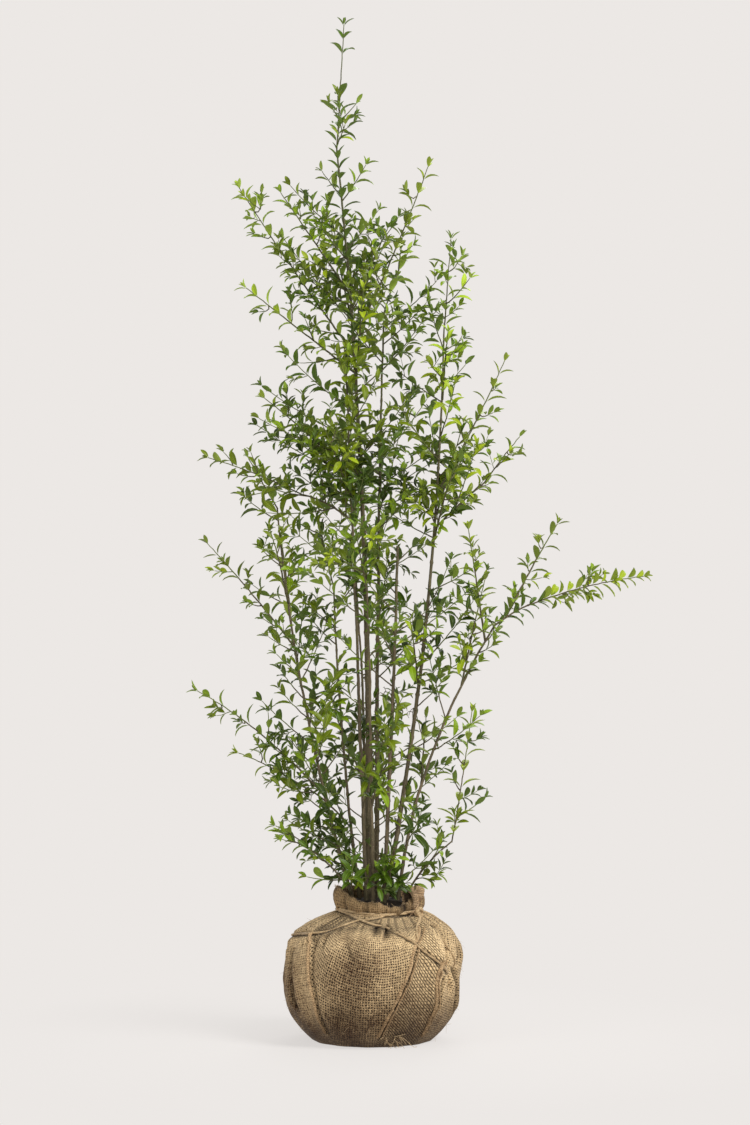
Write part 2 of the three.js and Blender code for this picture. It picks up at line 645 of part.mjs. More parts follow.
// One mass: a stem, its side twigs and their leaves, fused into one solid that is cut clear of its limb
function massSolid(name, index) {
  const mass = MASSES[name];
  const { curve, radiusAt } = axes[name];
  const random = seeded(FIRST_SEED + SEED_STEP * index);
  const twigRadius = (along) => THREE.MathUtils.lerp(TWIG_RADIUS, TWIG_TIP_RADIUS, along);
  const parts = [solidOf(rod(curve, radiusAt, 3, AXIS_STEPS))];
  const leaves = leafPairs(curve, random, { first: 0.55 * LEAF_SPACING, bare: mass.bare });
  const lines = curve.curves.map(({ v1, v2 }) => new THREE.Line3(v1, v2));
  for (const twig of sideTwigs(mass, curve, random)) {
    const onBare = mass.bare && twig.along > mass.bare[0] - 0.06;
    const samples = samplesOf(twig.curve.v1, twig.curve.v2);
    const pairs = leafPairs(twig.curve, random, { first: 0.8 * LEAF_SPACING });
    if (onBare || !isFree(samples, name)) continue;
    parts.push(solidOf(rod(twig.curve, twigRadius, 3, 1)));
    lines.push(new THREE.Line3(twig.curve.v1, twig.curve.v2));
    leaves.push(...pairs);
  }
  for (const { geometry, corners } of leaves) {
    const [foot, left, right, tip] = corners;
    const samples = [...samplesOf(foot, tip), ...samplesOf(left, tip, 0), ...samplesOf(right, tip, 0)];
    if (!isFree(samples, name) || !isApart(corners, lines)) continue;
    parts.push(solidOf(geometry));
    lines.push(new THREE.Line3(corners[0], corners[3]));
  }
  const fused = wasm.Manifold.union(parts).subtract(limbSolid(mass.from, GAP));
  return largestBody(largestBody(fused).simplify(SIMPLIFIED_BY));
}

function foliage() {
  const names = Object.keys(MASSES);
  for (const name of names) {
    const curve = straightened(branchCurve(MASSES[name], LEAF_ROOM), AXIS_STEPS);
    const radiusAt = (along) => THREE.MathUtils.lerp(AXIS_RADIUS, AXIS_TIP_RADIUS, along);
    const path = Array.from({ length: 9 }, (_, i) => ({ point: curve.getPoint(i / 8), radius: 0 }));
    axes[name] = { curve, radiusAt, path };
  }
  names.forEach((name, index) => addNode(name, massSolid(name, index), LEAF_GREEN));
}

rootBall();
stemsAndBoughs();
foliage();

export default root;
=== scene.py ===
"""A young hedging shrub with its wrapped root ball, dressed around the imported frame.

Lengths are in millimetres until a mesh is made, which turns them into metres. +Z is up and -Y is the front.
Headings are in degrees: 0 is right, 90 is to the back, 180 is left and -90 is to the front.
"""

import math

import bpy
import numpy as np
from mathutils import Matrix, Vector

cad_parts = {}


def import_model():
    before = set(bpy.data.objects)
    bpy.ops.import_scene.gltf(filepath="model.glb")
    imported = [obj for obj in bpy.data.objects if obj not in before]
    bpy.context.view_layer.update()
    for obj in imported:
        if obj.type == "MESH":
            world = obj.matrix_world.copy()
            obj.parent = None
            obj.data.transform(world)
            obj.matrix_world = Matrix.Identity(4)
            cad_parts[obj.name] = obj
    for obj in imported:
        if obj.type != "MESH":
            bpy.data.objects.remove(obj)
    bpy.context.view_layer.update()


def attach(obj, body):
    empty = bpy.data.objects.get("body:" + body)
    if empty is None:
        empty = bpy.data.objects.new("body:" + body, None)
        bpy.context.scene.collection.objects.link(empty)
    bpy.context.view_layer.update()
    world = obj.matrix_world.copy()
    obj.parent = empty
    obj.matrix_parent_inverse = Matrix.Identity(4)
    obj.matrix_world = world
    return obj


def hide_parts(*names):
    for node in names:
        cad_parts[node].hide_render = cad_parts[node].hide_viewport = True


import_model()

MM = 0.001
UP = np.array([0.0, 0.0, 1.0])

# The wrapped root ball, as in the CAD model
BALL_WIDTH = 300
BALL_FOOT_WIDTH = 202
BALL_FOOT_ROUNDNESS = 2.7
BALL_SHOULDER_ROUNDNESS = 3.9
BALL_WAIST_HEIGHT = 106
BALL_HEIGHT = 216
NECK_WIDTH = 144
NECK_OFFSET = 12
SHOULDER_OFFSET = 5
SOIL_TOP = 240.3
FOOT_SUNK = 8
GAP = 0.3

# The rule of growth, as in the CAD model
LEAF_SPREAD = 56
LEAF_SPACING = 50
LEAF_ROOM = 30
LEAF_SIZES = (0.82, 1.12)
LEAF_FACING_UP = 0.8
LAST_PAIR = 0.965
TWIG_SPACING = 58
TWIG_ANGLE = 48
TWIG_LIFT = 0.12
TWIG_TURN = 110
FOOT_FLARE = 0.3
FLARE_HEIGHT = 14
SPACE_MARGIN = 1.2
LIMB_CLEARANCE = 3.5
SAMPLE_SPACING = 6
FIRST_SEED = 1000
SEED_STEP = 7919

# The finer growth on the same axes
FINE_SEED = 90001
FINE_SEED_STEP = 104729
LEAF_REACH = 50
TIP_HEIGHT = 1480
FINE_ROOM = 11
FINE_SPACING = 23
AXIS_SPACING = 26
FINE_LENGTH = 35
FINE_WIDTH = 12.1
SPRAY_SPACING = 15
LIMB_LEAF_CLEARANCE = 1.6

# How the leaves of a pair stand off their twig and bend, and over which length they close up at its tip
PAIR_ANGLE = 34
PAIR_OPENING = 24
LEAF_BEND = (28, 74)
CLOSING_LENGTH = 45

# Sprays on a mass's main twig and side twigs: their chance at its foot and how much less it is at its tip,
# how much shorter they are than the large leaf, and the sizes of their leaves
AXIS_SPRAYS = (0.78, 0.8, 20, (0.74, 1.05))
SIDE_SPRAYS = (0.52, 0.5, 22, (0.7, 1.0))

# Shoots straight from the limbs, between the masses, inside the dense part of the crown
SHOOT_SPACING = 15
SHOOT_REACH = (55, 185)
SHOOT_ANGLE = 52
SHOOT_TURN = 137.5
SHOOT_SPRAYS = 9
LEAFY_FROM = 880
CROWN_DEPTH = 0.84
OUTWARDS = 1.3

# Pairs of leaves on the limbs themselves: spacing, sizes, and the bare part of the limb
LIMB_PAIRS = {
    "leader": (17, (0.85, 1.15), (-0.1, 0.85)),
    "bough_right_arm": (15, (0.95, 1.3), (-0.1, 0.16)),
}

# The seeds of the shoots' random numbers, and how far apart those of two limbs or two rows of a table are
SHOOT_SEED = 70001
SHOOT_SEED_STEP = 3571
PLACE_SEED_STEP = 100003
TOP_SHOOT_SEED = 60013
LIMB_PAIR_SEED = 60029
SINGLE_SHOOT_SEED = 83003
FOOT_SHOOT_SEED = 81001
DRY_TWIG_SEED = 82003
ROW_SEED_STEP = 977

# How closely the pairs of leaves stand on the main twig of some masses
CLOSE_PAIRS = {"arm_right": 15}

# The masses that reach furthest back and furthest front, with a spray for each large leaf of the CAD model
FAR_MASSES = ("middle_back", "middle_front")
FAR_LENGTH = 16

# How far the dense part of the crown reaches to the left and to the right at each height
CROWN = [
    (246, -62, 84), (262, -105, 110), (294, -139, 128), (345, -185, 141), (396, -150, 172),
    (447, -196, 180), (498, -212, 196), (549, -225, 198), (600, -160, 145),
    (651, -162, 180), (702, -200, 226), (753, -212, 214), (804, -198, 180), (855, -187, 112),
    (906, -226, 150), (957, -225, 200), (1008, -228, 204), (1059, -230, 186), (1110, -200, 186),
    (1161, -176, 160), (1212, -176, 153), (1263, -204, 150), (1314, -204, 158), (1365, -192, 120),
    (1416, -180, 20), (1467, -122, 4), (1518, -102, -8), (1569, -98, -6), (1600, -80, -20),
]

# How full the inside of the crown is at each height
FULLNESS = [
    (246, 0.7), (275, 0.3), (330, 0.17), (420, 0.18), (470, 0.12), (540, 0.12), (600, 0.2),
    (640, 0.26), (700, 0.3), (780, 0.18), (860, 0.2), (900, 0.6), (1040, 0.6), (1090, 0.3),
    (1180, 0.26), (1230, 0.8), (1330, 0.65), (1400, 0.4), (1500, 0.5), (1600, 1),
]

# How much fuller than that some limbs are, at heights from low to high
LIMB_FULLNESS = {
    "stem_right": [
        (430, 0.4), (540, 0.6), (600, 2), (740, 2), (790, 0.4),
        (960, 0.5), (1040, 1), (1140, 0.7), (1200, 1.6),
    ],
    "stem_right_low": [(246, 0.5), (560, 0.4), (640, 0.3)],
    "stem_middle": [(400, 0.4), (540, 0.5), (600, 2), (700, 2), (780, 0.4)],
    "stem_left_outer": [(330, 1), (450, 6), (620, 6), (680, 1)],
    "stem_left_upper": [(400, 0.5), (560, 0.6), (800, 1), (930, 1.7), (1000, 2.6), (1060, 2.2), (1150, 1.6)],
    "stem_left": [(400, 0.4), (500, 0.6), (600, 0.5)],
    "leader": [
        (400, 0.4), (540, 0.5), (700, 1), (780, 0.6), (1160, 0.6),
        (1200, 0.9), (1330, 0.8), (1400, 0.7), (1450, 1),
    ],
    "stem_rear": [
        (400, 0.4), (540, 0.5), (700, 1), (860, 1), (900, 1.6),
        (1000, 1.6), (1040, 0.7), (1140, 0.7), (1180, 1.3),
    ],
    "stem_front": [(400, 0.5), (540, 0.6), (640, 1)],
    "stem_back": [(400, 0.5), (540, 0.6), (640, 1)],
    "stem_low_left": [(246, 1.6), (322, 1.6)],
    "stem_low_right": [(246, 0.6), (322, 0.6)],
}

TIP = "tip"
CUT_STEM = "stem_middle"
STEMS = {
    "leader": dict(foot=(-7, 0), heading=180, reach=53, top=1510, bow=-20, radius=(6.6, 1.4)),
    "stem_rear": dict(foot=(8, 22), heading=78, reach=62, top=1240, bow=-22, radius=(4.6, 1.4)),
    "stem_right": dict(foot=(22, -6), heading=-4, reach=100, top=1197, bow=22, radius=(4.4, 1.4)),
    "stem_right_low": dict(foot=(44, -14), heading=-8, reach=164, top=702, bow=-30, radius=(3.2, 1.6)),
    "stem_left": dict(foot=(-20, 12), heading=172, reach=46, top=767, bow=8, radius=(3, 1.4)),
    "stem_left_upper": dict(foot=(-9, -17), heading=205, reach=42, top=1187, bow=0, radius=(3.6, 1.4)),
    "stem_left_outer": dict(foot=(-31, -5), heading=184, reach=130, top=901, bow=18, radius=(3.2, 1.4)),
    "stem_middle": dict(foot=(20, -27), heading=-25, reach=26, top=836, bow=0, radius=(3.8, 2.2)),
    "stem_front": dict(foot=(2, -40), heading=-96, reach=96, top=760, bow=-12, radius=(3.2, 1.4)),
    "stem_back": dict(foot=(-6, 40), heading=100, reach=130, top=800, bow=-14, radius=(3.2, 1.4)),
    "stem_low_left": dict(foot=(-30, -22), heading=200, reach=74, top=322, bow=-13, radius=(1.9, 1.3)),
    "stem_low_right": dict(foot=(56, 14), heading=-2, reach=80, top=334, bow=-12, radius=(2.1, 1.3)),
}


def branch(start, fork, heading, reach, rise, lift=0, **more):
    """One row of the tables of boughs and masses"""
    return dict(start=start, fork=fork, heading=heading, reach=reach, rise=rise, lift=lift, **more)


BOUGHS = {
    "bough_right_arm": branch("stem_right_low", TIP, -4, 72, 40, 4, radius=(1.5, 1.3)),
    "bough_right_mid": branch("stem_right", 867, 4, 84, 78, 3, radius=(1.7, 1.3)),
    "bough_left_mid": branch("stem_left_upper", 880, 172, 84, 44, 6, radius=(1.7, 1.3)),
    "bough_left_low": branch("stem_left", 357, 190, 84, 72, 8, radius=(1.6, 1.3)),
}
MASSES = {
    "top_spray": branch("leader", TIP, 10, 13, 224, spread=46, bare=(0.42, 0.7)),
    "crown_left_high": branch("leader", 1163, 172, 206, 296, -6, spread=62),
    "crown_left_mid": branch("leader", 1265, 196, 128, 178, spread=58),
    "crown_left_low": branch("leader", 1130, 188, 196, 150, spread=66),
    "crown_right_high": branch("leader", 1187, 10, 134, 309, -12, spread=52),
    "crown_right_inner": branch("leader", 1240, -44, 92, 140, spread=72),
    "crown_front": branch("leader", 1120, -84, 128, 150, 6, spread=80),
    "crown_back": branch("leader", 1215, 112, 120, 205, spread=76),
    "rear_top": branch("stem_rear", TIP, 62, 96, 120, 10, spread=84),
    "right_top": branch("stem_right", TIP, 24, 14, 172, spread=76),
    "right_upper_out": branch("stem_right", 1085, -84, 80, 118, 6, spread=70),
    "right_mid_high": branch("stem_right", 930, 12, 122, 233, -8, spread=40),
    "right_mid_front": branch("stem_right", 850, -74, 128, 130, 10, spread=82),
    "right_mid_back": branch("stem_right", 890, 66, 128, 170, spread=82),
    "right_mid_low": branch("bough_right_mid", TIP, 2, 66, 86, 2, spread=60),
    "right_centre": branch("stem_right", 590, -100, 96, 130, 8, spread=82),
    "arm_right": branch("bough_right_arm", TIP, -3, 190, 46, 6, spread=32),
    "arm_right_up": branch("bough_right_arm", 716, 22, 102, 168, 4, spread=44),
    "arm_right_inner": branch("stem_right_low", 676, 150, 34, 200, spread=52),
    "arm_right_front": branch("stem_right_low", 600, -62, 84, 190, 4, spread=66),
    "low_right": branch("stem_low_right", TIP, 6, 36, 232, -8, spread=54),
    "low_right_inner": branch("stem_right_low", 430, 84, 96, 120, 4, spread=66),
    "arm_left": branch("stem_left_outer", 666, 176, 156, 184, 4, spread=40),
    "left_outer_top": branch("stem_left_outer", TIP, 140, 74, 96, spread=76),
    "left_outer_front": branch("stem_left_outer", 740, -104, 116, 130, 8, spread=74),
    "left_outer_back": branch("stem_left_outer", 700, 100, 126, 160, 6, spread=76),
    "low_left_arm": branch("stem_left_outer", 412, 178, 226, 186, 16, spread=52),
    "low_left_arm_under": branch("bough_left_low", TIP, 188, 118, 62, 4, spread=50),
    "low_left_foot": branch("stem_low_left", TIP, 186, 72, 50, 4, spread=50),
    "left_mid": branch("bough_left_mid", TIP, 187, 170, 66, 4, spread=74),
    "left_mid_upper": branch("stem_left_upper", 960, 166, 158, 136, 4, spread=76),
    "left_mid_front": branch("stem_left_upper", 915, -112, 128, 128, 8, spread=84),
    "left_top": branch("stem_left", TIP, 128, 60, 150, spread=80),
    "middle_front": branch("stem_front", TIP, -120, 44, 116, spread=72),
    "middle_back": branch("stem_back", TIP, 112, 44, 190, spread=80),
    "middle_low_back": branch("stem_back", 420, 60, 96, 120, 4, spread=72),
    "middle_low_front": branch("stem_front", 400, -70, 84, 100, 6, spread=70),
    "foot_leaves": branch("stem_front", 292, -40, 62, 26, 12, spread=40),
}

# The regions that are joined into one piece of leaves and one of twigs: how the names of their masses begin
REGIONS = {
    "crown": ("top_", "crown_", "rear_", "right_top", "right_upper"),
    "right": ("right_mid", "right_centre", "arm_right", "low_right"),
    "left": ("arm_left", "left_", "low_left"),
    "middle": ("middle_", "foot_"),
}
LIMB_REGIONS = {
    "crown": ["leader", "stem_rear"],
    "right": ["stem_right", "stem_right_low", "stem_low_right", "bough_right_arm", "bough_right_mid"],
    "left": [
        "stem_left", "stem_left_upper", "stem_left_outer", "stem_low_left",
        "bough_left_mid", "bough_left_low",
    ],
    "middle": ["stem_middle", "stem_front", "stem_back"],
}


# Meshes


def build(name, points, faces, materials, numbers=0, uv=None, sharp=None):
    """One piece from points and arrays of faces with 3 and 4 corners, with a material number for each face"""
    mesh = bpy.data.meshes.new(name)
    corners = np.concatenate([group.ravel() for group in faces])
    sizes = np.concatenate([np.full(len(group), group.shape[1]) for group in faces])
    mesh.vertices.add(len(points))
    mesh.loops.add(len(corners))
    mesh.polygons.add(len(sizes))
    mesh.vertices.foreach_set("co", (np.asarray(points) * MM).astype(np.float32).ravel())
    mesh.loops.foreach_set("vertex_index", corners.astype(np.int32))
    mesh.polygons.foreach_set("loop_start", (np.cumsum(sizes) - sizes).astype(np.int32))
    mesh.polygons.foreach_set("material_index", np.full(len(sizes), numbers, np.int32))
    mesh.polygons.foreach_set("use_smooth", np.ones(len(sizes), bool))
    mesh.update(calc_edges=True)
    if uv is not None:
        layer = mesh.uv_layers.new(name="UVMap")
        layer.data.foreach_set("uv", np.asarray(uv, np.float32).ravel())
    if sharp is not None:
        mesh.set_sharp_from_angle(angle=math.radians(sharp))
    for material in materials:
        mesh.materials.append(material)
    piece = bpy.data.objects.new(name, mesh)
    bpy.context.scene.collection.objects.link(piece)
    return piece


class Pile:
    """Points and faces gathered for one joined piece, with the faces kept apart by their number of corners"""

    def __init__(self):
        self.points, self.count = [], 0
        self.faces, self.numbers, self.uvs = ({3: [], 4: []} for _ in range(3))

    def add(self, points, faces, numbers=0, uv=None):
        for group in faces:
            size = group.shape[1]
            own = numbers[size] if isinstance(numbers, dict) else numbers
            self.faces[size].append(group + self.count)
            self.numbers[size].append(np.full(len(group), own))
            if uv:
                self.uvs[size].append(uv[size])
        self.points.append(points)
        self.count += len(points)

    def piece(self, name, materials, sharp=None):
        faces, numbers, uvs = (
            [np.concatenate(groups) for groups in kind.values() if groups]
            for kind in (self.faces, self.numbers, self.uvs)
        )
        uv = np.concatenate(uvs) if uvs else None
        return build(name, np.concatenate(self.points), faces, materials, np.concatenate(numbers), uv, sharp)


def unit(vectors):
    vectors = np.asarray(vectors, float)
    return vectors / np.maximum(np.linalg.norm(vectors, axis=-1, keepdims=True), 1e-9)


def way_along(points):
    """The length of a line up to each of its points"""
    return np.concatenate([[0], np.cumsum(np.linalg.norm(np.diff(points, axis=0), axis=1))])


def smooth_step(value, low, high):
    share = np.clip((value - low) / (high - low), 0, 1)
    return share * share * (3 - 2 * share)


def bell(value, width):
    return np.exp(-((value / width) ** 2))


def ring_angles(sides):
    return np.arange(sides) * 2 * math.pi / sides


def frames_along(points):
    """Two directions across a line at each of its points, which don't twist along the way"""
    tangents = unit(np.gradient(points, axis=0))
    across = np.empty_like(points)
    first = np.cross(tangents[0], UP)
    across[0] = unit(first if np.linalg.norm(first) > 0.05 else [1.0, 0.0, 0.0])
    for i in range(1, len(points)):
        across[i] = unit(across[i - 1] - tangents[i] * (across[i - 1] @ tangents[i]))
    return across, np.cross(tangents, across)


def ring_quads(rows, columns, looped=False):
    """Faces between rings of points, and from the last ring back to the first in a looped form"""
    around = np.arange(columns)
    onward = (around + 1) % columns
    low = (np.arange(rows - 1 + looped) * columns)[:, None]
    high = (low + columns) % (rows * columns)
    return np.stack([low + around, low + onward, high + onward, high + around], -1).reshape(-1, 4)


def closed_skin(rows, columns, turned=False):
    """Faces of a stack of rings, with a fan to each of the two points that come after them in the list"""
    around = np.arange(columns)
    onward = (around + 1) % columns
    foot, last = np.full(columns, rows * columns), (rows - 1) * columns
    fans = [(foot, onward, around), (foot + 1, last + around, last + onward)]
    caps = np.concatenate([np.stack(fan, -1) for fan in fans])
    quads = ring_quads(rows, columns)
    return (caps[:, [0, 2, 1]], quads[:, [0, 3, 2, 1]]) if turned else (caps, quads)


def tube(points, radii, sides):
    """Points and faces of a closed tube, with one radius for each ring or for each corner of each ring"""
    points = np.asarray(points, float)
    across, other = frames_along(points)
    angles = ring_angles(sides)
    radii = np.asarray(radii, float)
    radii = radii[:, None] if radii.ndim == 1 else radii
    skin = points[:, None] + across[:, None] * (radii * np.cos(angles))[..., None]
    skin = skin + other[:, None] * (radii * np.sin(angles))[..., None]
    return np.concatenate([skin.reshape(-1, 3), points[[0, -1]]]), closed_skin(len(points), sides)


# Growth


class Random:
    """The same random numbers as in the CAD model, from 0 up to 1"""

    def __init__(self, seed):
        self.state = seed & 0xFFFFFFFF

    def __call__(self):
        self.state = (self.state * 1664525 + 1013904223) & 0xFFFFFFFF
        return self.state / 2**32

    def between(self, low, high):
        return low + (high - low) * self()


def compass(degrees):
    return np.array([math.cos(math.radians(degrees)), math.sin(math.radians(degrees)), 0.0])


class Curve:
    """A quadratic curve that can be asked for points by its own parameter or by its length"""

    def __init__(self, start, middle, end):
        self.start, self.middle, self.end = (np.asarray(p, float) for p in (start, middle, end))
        self.marks = np.linspace(0, 1, 49)
        self.lengths = way_along(self.raw(self.marks))
        self.length = self.lengths[-1]

    def raw(self, t):
        t = np.asarray(t, float)[..., None]
        return (1 - t) ** 2 * self.start + 2 * t * (1 - t) * self.middle + t**2 * self.end

    def slope(self, t):
        t = np.asarray(t, float)[..., None]
        return unit(2 * (1 - t) * (self.middle - self.start) + 2 * t * (self.end - self.middle))

    def parameter(self, along):
        return np.interp(np.asarray(along) * self.length, self.lengths, self.marks)

    def at(self, along):
        return self.raw(self.parameter(along))

    def tangent(self, along):
        return self.slope(self.parameter(along))


limbs = {}


def remember_limb(name, curve, radius, flare):
    foot_radius, tip_radius = radius
    marks = np.arange(13) / 12

    def radius_at(along):
        along = np.asarray(along, float)
        taper = foot_radius + (tip_radius - foot_radius) * along**0.8
        return taper * (1 + flare * np.exp(-along * curve.length / FLARE_HEIGHT))

    limbs[name] = dict(curve=curve, radius_at=radius_at, path=curve.raw(marks), radii=radius_at(marks))


def stem_curve(foot, heading, reach, top, bow, radius):
    start = np.array([foot[0], foot[1], SOIL_TOP - FOOT_SUNK])
    end = start + compass(heading) * reach
    end[2] = top
    return Curve(start, (start + end) / 2 + compass(heading) * 2 * bow, end)


def place_on(limb_name, height):
    """The point of a limb's middle line at a height"""
    curve = limbs[limb_name]["curve"]
    marks = np.linspace(0, 1, 400)
    return curve.raw(np.interp(height, curve.raw(marks)[:, 2], marks))


def fork_point(row):
    if row["fork"] == TIP:
        curve = limbs[row["start"]]["curve"]
        return curve.end + curve.slope(1.0) * GAP
    return place_on(row["start"], row["fork"])


def branch_curve(row, room=0):
    start = fork_point(row)
    end = start + compass(row["heading"]) * row["reach"] + UP * row["rise"]
    end = end - unit(end - start) * room
    return Curve(start, (start + end) / 2 + UP * 2 * row["lift"], end)


def side_of(tangent, turn):
    level = np.cross(tangent, UP)
    level = unit(level if level @ level > 1e-4 else np.array([1.0, 0.0, 0.0]))
    return level * math.cos(turn) + np.cross(tangent, level) * math.sin(turn)


def distance_to_paths(points, path, radii):
    """How far each point lies from the skin of a path with the given radii"""
    points = np.atleast_2d(points)
    starts, ends = path[:-1], path[1:]
    lines = ends - starts
    share = np.einsum("pkc,kc->pk", points[:, None] - starts, lines) / np.maximum((lines**2).sum(1), 1e-9)
    share = np.clip(share, 0, 1)
    nearest = starts + share[..., None] * lines
    gaps = np.linalg.norm(points[:, None] - nearest, axis=2)
    return (gaps - (radii[:-1] + share * (radii[1:] - radii[:-1]))).min(1)


for stem_name, stem in STEMS.items():
    remember_limb(stem_name, stem_curve(**stem), stem["radius"], FOOT_FLARE)
for bough_name, bough in BOUGHS.items():
    remember_limb(bough_name, branch_curve(bough), bough["radius"], 0)
axes = {name: branch_curve(row, LEAF_ROOM) for name, row in MASSES.items()}
axis_paths = {name: curve.at(np.arange(9) / 8) for name, curve in axes.items()}


def is_free(points, name):
    """Whether points keep to a mass's own space and clear of every limb, as in the CAD model"""
    bare = np.zeros(9)
    own = distance_to_paths(points, axis_paths[name], bare) + SPACE_MARGIN
    for other, path in axis_paths.items():
        if other != name and not (distance_to_paths(points, path, bare) > own).all():
            return False
    gaps = [distance_to_paths(points, limb["path"], limb["radii"]) for limb in limbs.values()]
    return np.min(gaps) > LIMB_CLEARANCE


def coarse_pairs(curve, random, first, bare=None):
    """Where the CAD model's large leaves grow on a twig and where they point, from the same draws"""
    count = max(1, math.floor((curve.length - first) / LEAF_SPACING + 0.5))
    start = random() * math.pi
    leaves = []
    for i in range(count + 1):
        along = min(LAST_PAIR, (first + (curve.length - first) * i / count) / curve.length)
        turn = start + i * math.pi / 2
        size = random.between(*LEAF_SIZES)
        if bare and bare[0] < along < bare[1]:
            continue
        for half in (0, math.pi):
            spread = math.radians(LEAF_SPREAD + random.between(-8, 8))
            tangent = curve.tangent(along)
            direction = tangent * math.cos(spread) + side_of(tangent, turn + half) * math.sin(spread)
            leaves.append(dict(along=along, foot=curve.at(along), direction=unit(direction), size=size))
    return start, leaves


def side_twigs(row, axis, random):
    """The side twigs of a mass, from the same draws as in the CAD model"""
    count = max(2, math.floor(axis.length / TWIG_SPACING + 0.5))
    start = random() * math.pi
    twigs = []
    for i in range(count):
        along = (i + 0.9) / (count + 0.9)
        turn = start + i * math.radians(TWIG_TURN) + random.between(0, 0.5)
        reach = row["spread"] * (1.15 - 0.7 * along) * random.between(0.8, 1.2) - 0.5 * LEAF_ROOM
        tangent = axis.tangent(along)
        angle = math.radians(TWIG_ANGLE + random.between(-7, 7))
        foot = axis.at(along)
        out = side_of(tangent, turn)
        end = foot + tangent * reach * math.cos(angle) + out * reach * math.sin(angle)
        end = end + UP * TWIG_LIFT * reach
        twigs.append(dict(along=along, out=out, curve=Curve(foot, (foot + end) / 2, end)))
    return twigs


class Growth:
    """The twigs and leaves of one region"""

    def __init__(self):
        self.twigs = []
        self.leaves = []

    def twig(self, curve, radii, young_from, back=0.0):
        """A twig along a curve that turns green from a share of its length"""
        steps = max(3, int(curve.length / 7))
        shares = np.linspace(0, 1, steps + 1)
        points = curve.at(shares)
        points[0] -= curve.tangent(0.0) * back
        self.twigs.append((points, radii[0] + (radii[1] - radii[0]) * shares, young_from))

    def leaf(self, foot, direction, face, size, tint, bend):
        self.leaves.append((foot, direction, face, size, tint, bend))

    def pairs(self, curve, random, spacing, first, start, tint, sizes, bare=None):
        """Opposite leaves along a twig, each pair a quarter turn on, which close up and shrink at the tip"""
        count = max(1, int(round((curve.length - first) / spacing)))
        for i in range(count + 1):
            along = min(0.99, (first + (curve.length - first) * i / count) / curve.length)
            if bare and bare[0] < along < bare[1]:
                continue
            tangent = curve.tangent(along)
            closing = min(1.0, (1 - along) * curve.length / CLOSING_LENGTH)
            turn = start + i * math.pi / 2 + random.between(-0.25, 0.25)
            for half in (0, math.pi):
                size = random.between(*sizes) * (0.6 + 0.4 * closing)
                spread = math.radians(PAIR_ANGLE + PAIR_OPENING * closing + random.between(-10, 10))
                bend = math.radians(random.between(*LEAF_BEND)) * (0.6 + 0.4 * closing)
                # One more draw for each leaf, which the places of all later ones hang on
                random()
                direction = tangent * math.cos(spread) + side_of(tangent, turn + half) * math.sin(spread)
                face = tangent + UP * LEAF_FACING_UP * random.between(0.3, 1.3)
                self.leaf(curve.at(along), unit(direction), face, size, tint, bend)
        tip = curve.end
        tangent = curve.tangent(1.0)
        for half in (0, math.pi):
            direction = tangent * 0.94 + side_of(tangent, start + half + 0.8) * 0.34
            self.leaf(tip, unit(direction), tangent + UP * 0.5, random.between(0.34, 0.5), tint, 0.35)

    def spray(self, foot, direction, length, random, tint, sizes):
        """A short side shoot that ends in leaves and takes the place of one large leaf of the CAD model"""
        end = foot + direction * length
        middle = (foot + end) / 2 - UP * 0.04 * length
        curve = Curve(foot, middle, end + UP * 0.08 * length)
        self.twig(curve, (0.75, 0.5), 0.0)
        self.pairs(curve, random, SPRAY_SPACING, 0.5 * SPRAY_SPACING, random() * math.pi, tint, sizes)


def tint_of(foot, random, youth):
    """Which of the greens a spray takes: brighter high up, far out and at the tips"""
    height = (foot[2] - SOIL_TOP) / TIP_HEIGHT
    out = min(crown_share(foot), 1.4)
    value = 0.02 + 0.24 * height + 0.24 * out + youth + random.between(-0.24, 0.3)
    return int(np.clip(value * 6, 0, 5))


def add_sprays(growth, coarse, fine, far, chance, fall, shorter, sizes):
    """Sprays in place of the CAD model's large leaves: of all of them in the masses that reach far"""
    for leaf in coarse:
        if fine() > (1 if far else chance - fall * leaf["along"]):
            continue
        tint = tint_of(leaf["foot"], fine, 0.05)
        length = LEAF_REACH * leaf["size"] - shorter + FAR_LENGTH * far
        growth.spray(leaf["foot"], leaf["direction"], length, fine, tint, sizes)


